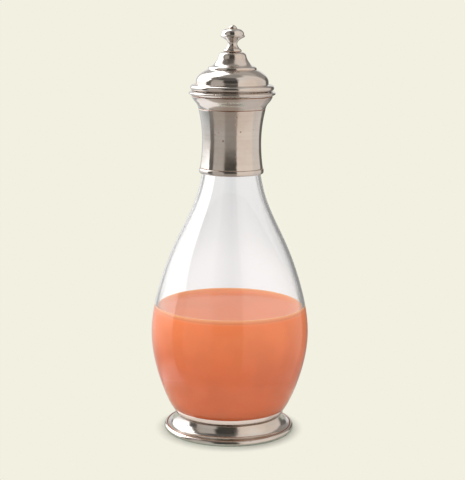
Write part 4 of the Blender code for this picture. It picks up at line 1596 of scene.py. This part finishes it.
    def seen_through(self, nodes: Nodes, parts: object) -> Socket:
        """What shows through the glass.

        Args:
            nodes: Helper of the world's tree.
            parts: X, Y and Z of the direction.

        Returns:
            The colour, with a slanting pale sheen at the left.
        """
        angle = nodes.math("ARCTAN2", parts["X"], parts["Y"])
        depth = nodes.ranged(parts["Z"], *self.through_rise)
        even = nodes.blend(depth, self.through_low, self.through_high)
        through = nodes.blend(1.0, even, self.ramp(nodes, angle, self.through), "MULTIPLY")
        slanted = nodes.math("SUBTRACT", angle, nodes.math("MULTIPLY", parts["Z"], self.sheen_slant))
        sheen = nodes.math("MULTIPLY", nodes.ranged(slanted, *self.sheen_edge, 1.0, 0.0),
                           nodes.math("GREATER_THAN", angle, self.sheen_end))
        return nodes.blend(sheen, through, self.sheen)

    def surroundings(self) -> None:
        """Backdrop for the camera, soft light for matt surfaces, and the studio for gloss and glass."""
        world = bpy.data.worlds.new("studio")
        bpy.context.scene.world = world
        world.use_nodes = True
        nodes = Nodes(world.node_tree)
        parts = nodes.split(nodes.add("ShaderNodeTexCoord").outputs["Generated"])
        path = nodes.add("ShaderNodeLightPath").outputs
        colour = self.soft_light
        for ray, shown in (("Is Glossy Ray", self.mirrored(nodes, parts)),
                           ("Is Transmission Ray", self.seen_through(nodes, parts)),
                           ("Is Camera Ray", self.backdrop)):
            colour = nodes.blend(path[ray], colour, shown)
        nodes.fill(world.node_tree.nodes["Background"], Color=colour)

    def floor(self) -> None:
        """Pale table that takes the carafe's shadow and fades into the backdrop."""
        deselect_all()
        bpy.ops.mesh.primitive_circle_add(vertices=96, radius=self.edge, fill_type="TRIFAN")
        table = bpy.context.active_object
        table.name = "table"
        made, nodes, shader, position = new_material("table_top")
        nodes.fill(shader, Base_Color=self.table_tint, Roughness=self.table_roughness, Specular_IOR_Level=0.0)
        spread = nodes.add("ShaderNodeMapping", {"Vector": position, "Location": (0.0, self.shadow_step, 0.0),
                                                 "Scale": (self.shadow_squeeze, 1.0, 1.0)})
        path = nodes.add("ShaderNodeLightPath").outputs
        faded = nodes.ranged(nodes.length(spread.outputs["Vector"]), *self.shown_table)
        plain = nodes.add("ShaderNodeEmission", {"Color": self.backdrop}).outputs["Emission"]
        lit = nodes.cover(nodes.math("MULTIPLY", faded, path["Is Camera Ray"]), shader.outputs["BSDF"], plain)
        beyond = nodes.ranged(nodes.length(position), *self.mirrored_table)
        clear = nodes.add("ShaderNodeBsdfTransparent").outputs["BSDF"]
        nodes.surface(nodes.cover(nodes.math("MULTIPLY", beyond, path["Is Glossy Ray"]), lit, clear))
        table.data.materials.append(made)

    def lamp(self, name: str, place: Triple, size: float, power: float) -> None:
        """Soft square lamp that faces the carafe and isn't itself seen in it.

        Args:
            name: Name of the lamp.
            place: Where it hangs.
            size: Length of its side.
            power: Its power in watts.
        """
        light = bpy.data.lights.new(name, "AREA")
        light.size = size
        light.energy = power
        lamp = bpy.data.objects.new(name, light)
        bpy.context.scene.collection.objects.link(lamp)
        lamp.location = place
        lamp.rotation_euler = (Vector(self.lamp_target) - Vector(place)).to_track_quat("-Z", "Y").to_euler()
        lamp.visible_camera = lamp.visible_glossy = lamp.visible_transmission = False

    def camera(self) -> None:
        """Camera at the photograph's height, distance, tilt and lean."""
        data = bpy.data.cameras.new("camera")
        data.lens = self.focal_length
        data.sensor_width = self.sensor
        data.clip_start, data.clip_end = self.clip
        camera = bpy.data.objects.new("camera", data)
        bpy.context.scene.collection.objects.link(camera)
        aim = Matrix.Rotation(math.radians(90 - self.tilt), 4, "X")
        lean = Matrix.Rotation(math.radians(self.lean), 4, "Z")
        camera.matrix_world = Matrix.Translation(self.place) @ (aim @ lean)
        bpy.context.scene.camera = camera

    def build(self) -> None:
        """Sets up the whole studio."""
        bpy.context.scene.view_settings.view_transform = "Standard"
        self.surroundings()
        self.floor()
        for lamp in self.lamps:
            self.lamp(*lamp)
        self.camera()
        log.info("studio: backdrop, table, %d lamps and camera", len(self.lamps))


def main() -> None:
    """Builds the carafe piece by piece, then the studio round it."""
    logging.basicConfig(level=logging.INFO, format="%(name)s: %(message)s")
    finishes = Finishes()
    vessel = GlassVessel(finishes)
    foot = RingFoot(finishes, vessel)
    collar = NeckCollar(finishes, vessel)
    lid = Lid(finishes, collar)
    finial = Finial(finishes, lid)
    for piece in (vessel, Drink(finishes, vessel), foot, collar, lid, finial):
        piece.build()
    HiddenParts(finishes).build(foot, finial)
    Studio().build()


if __name__ == "__main__":
    main()
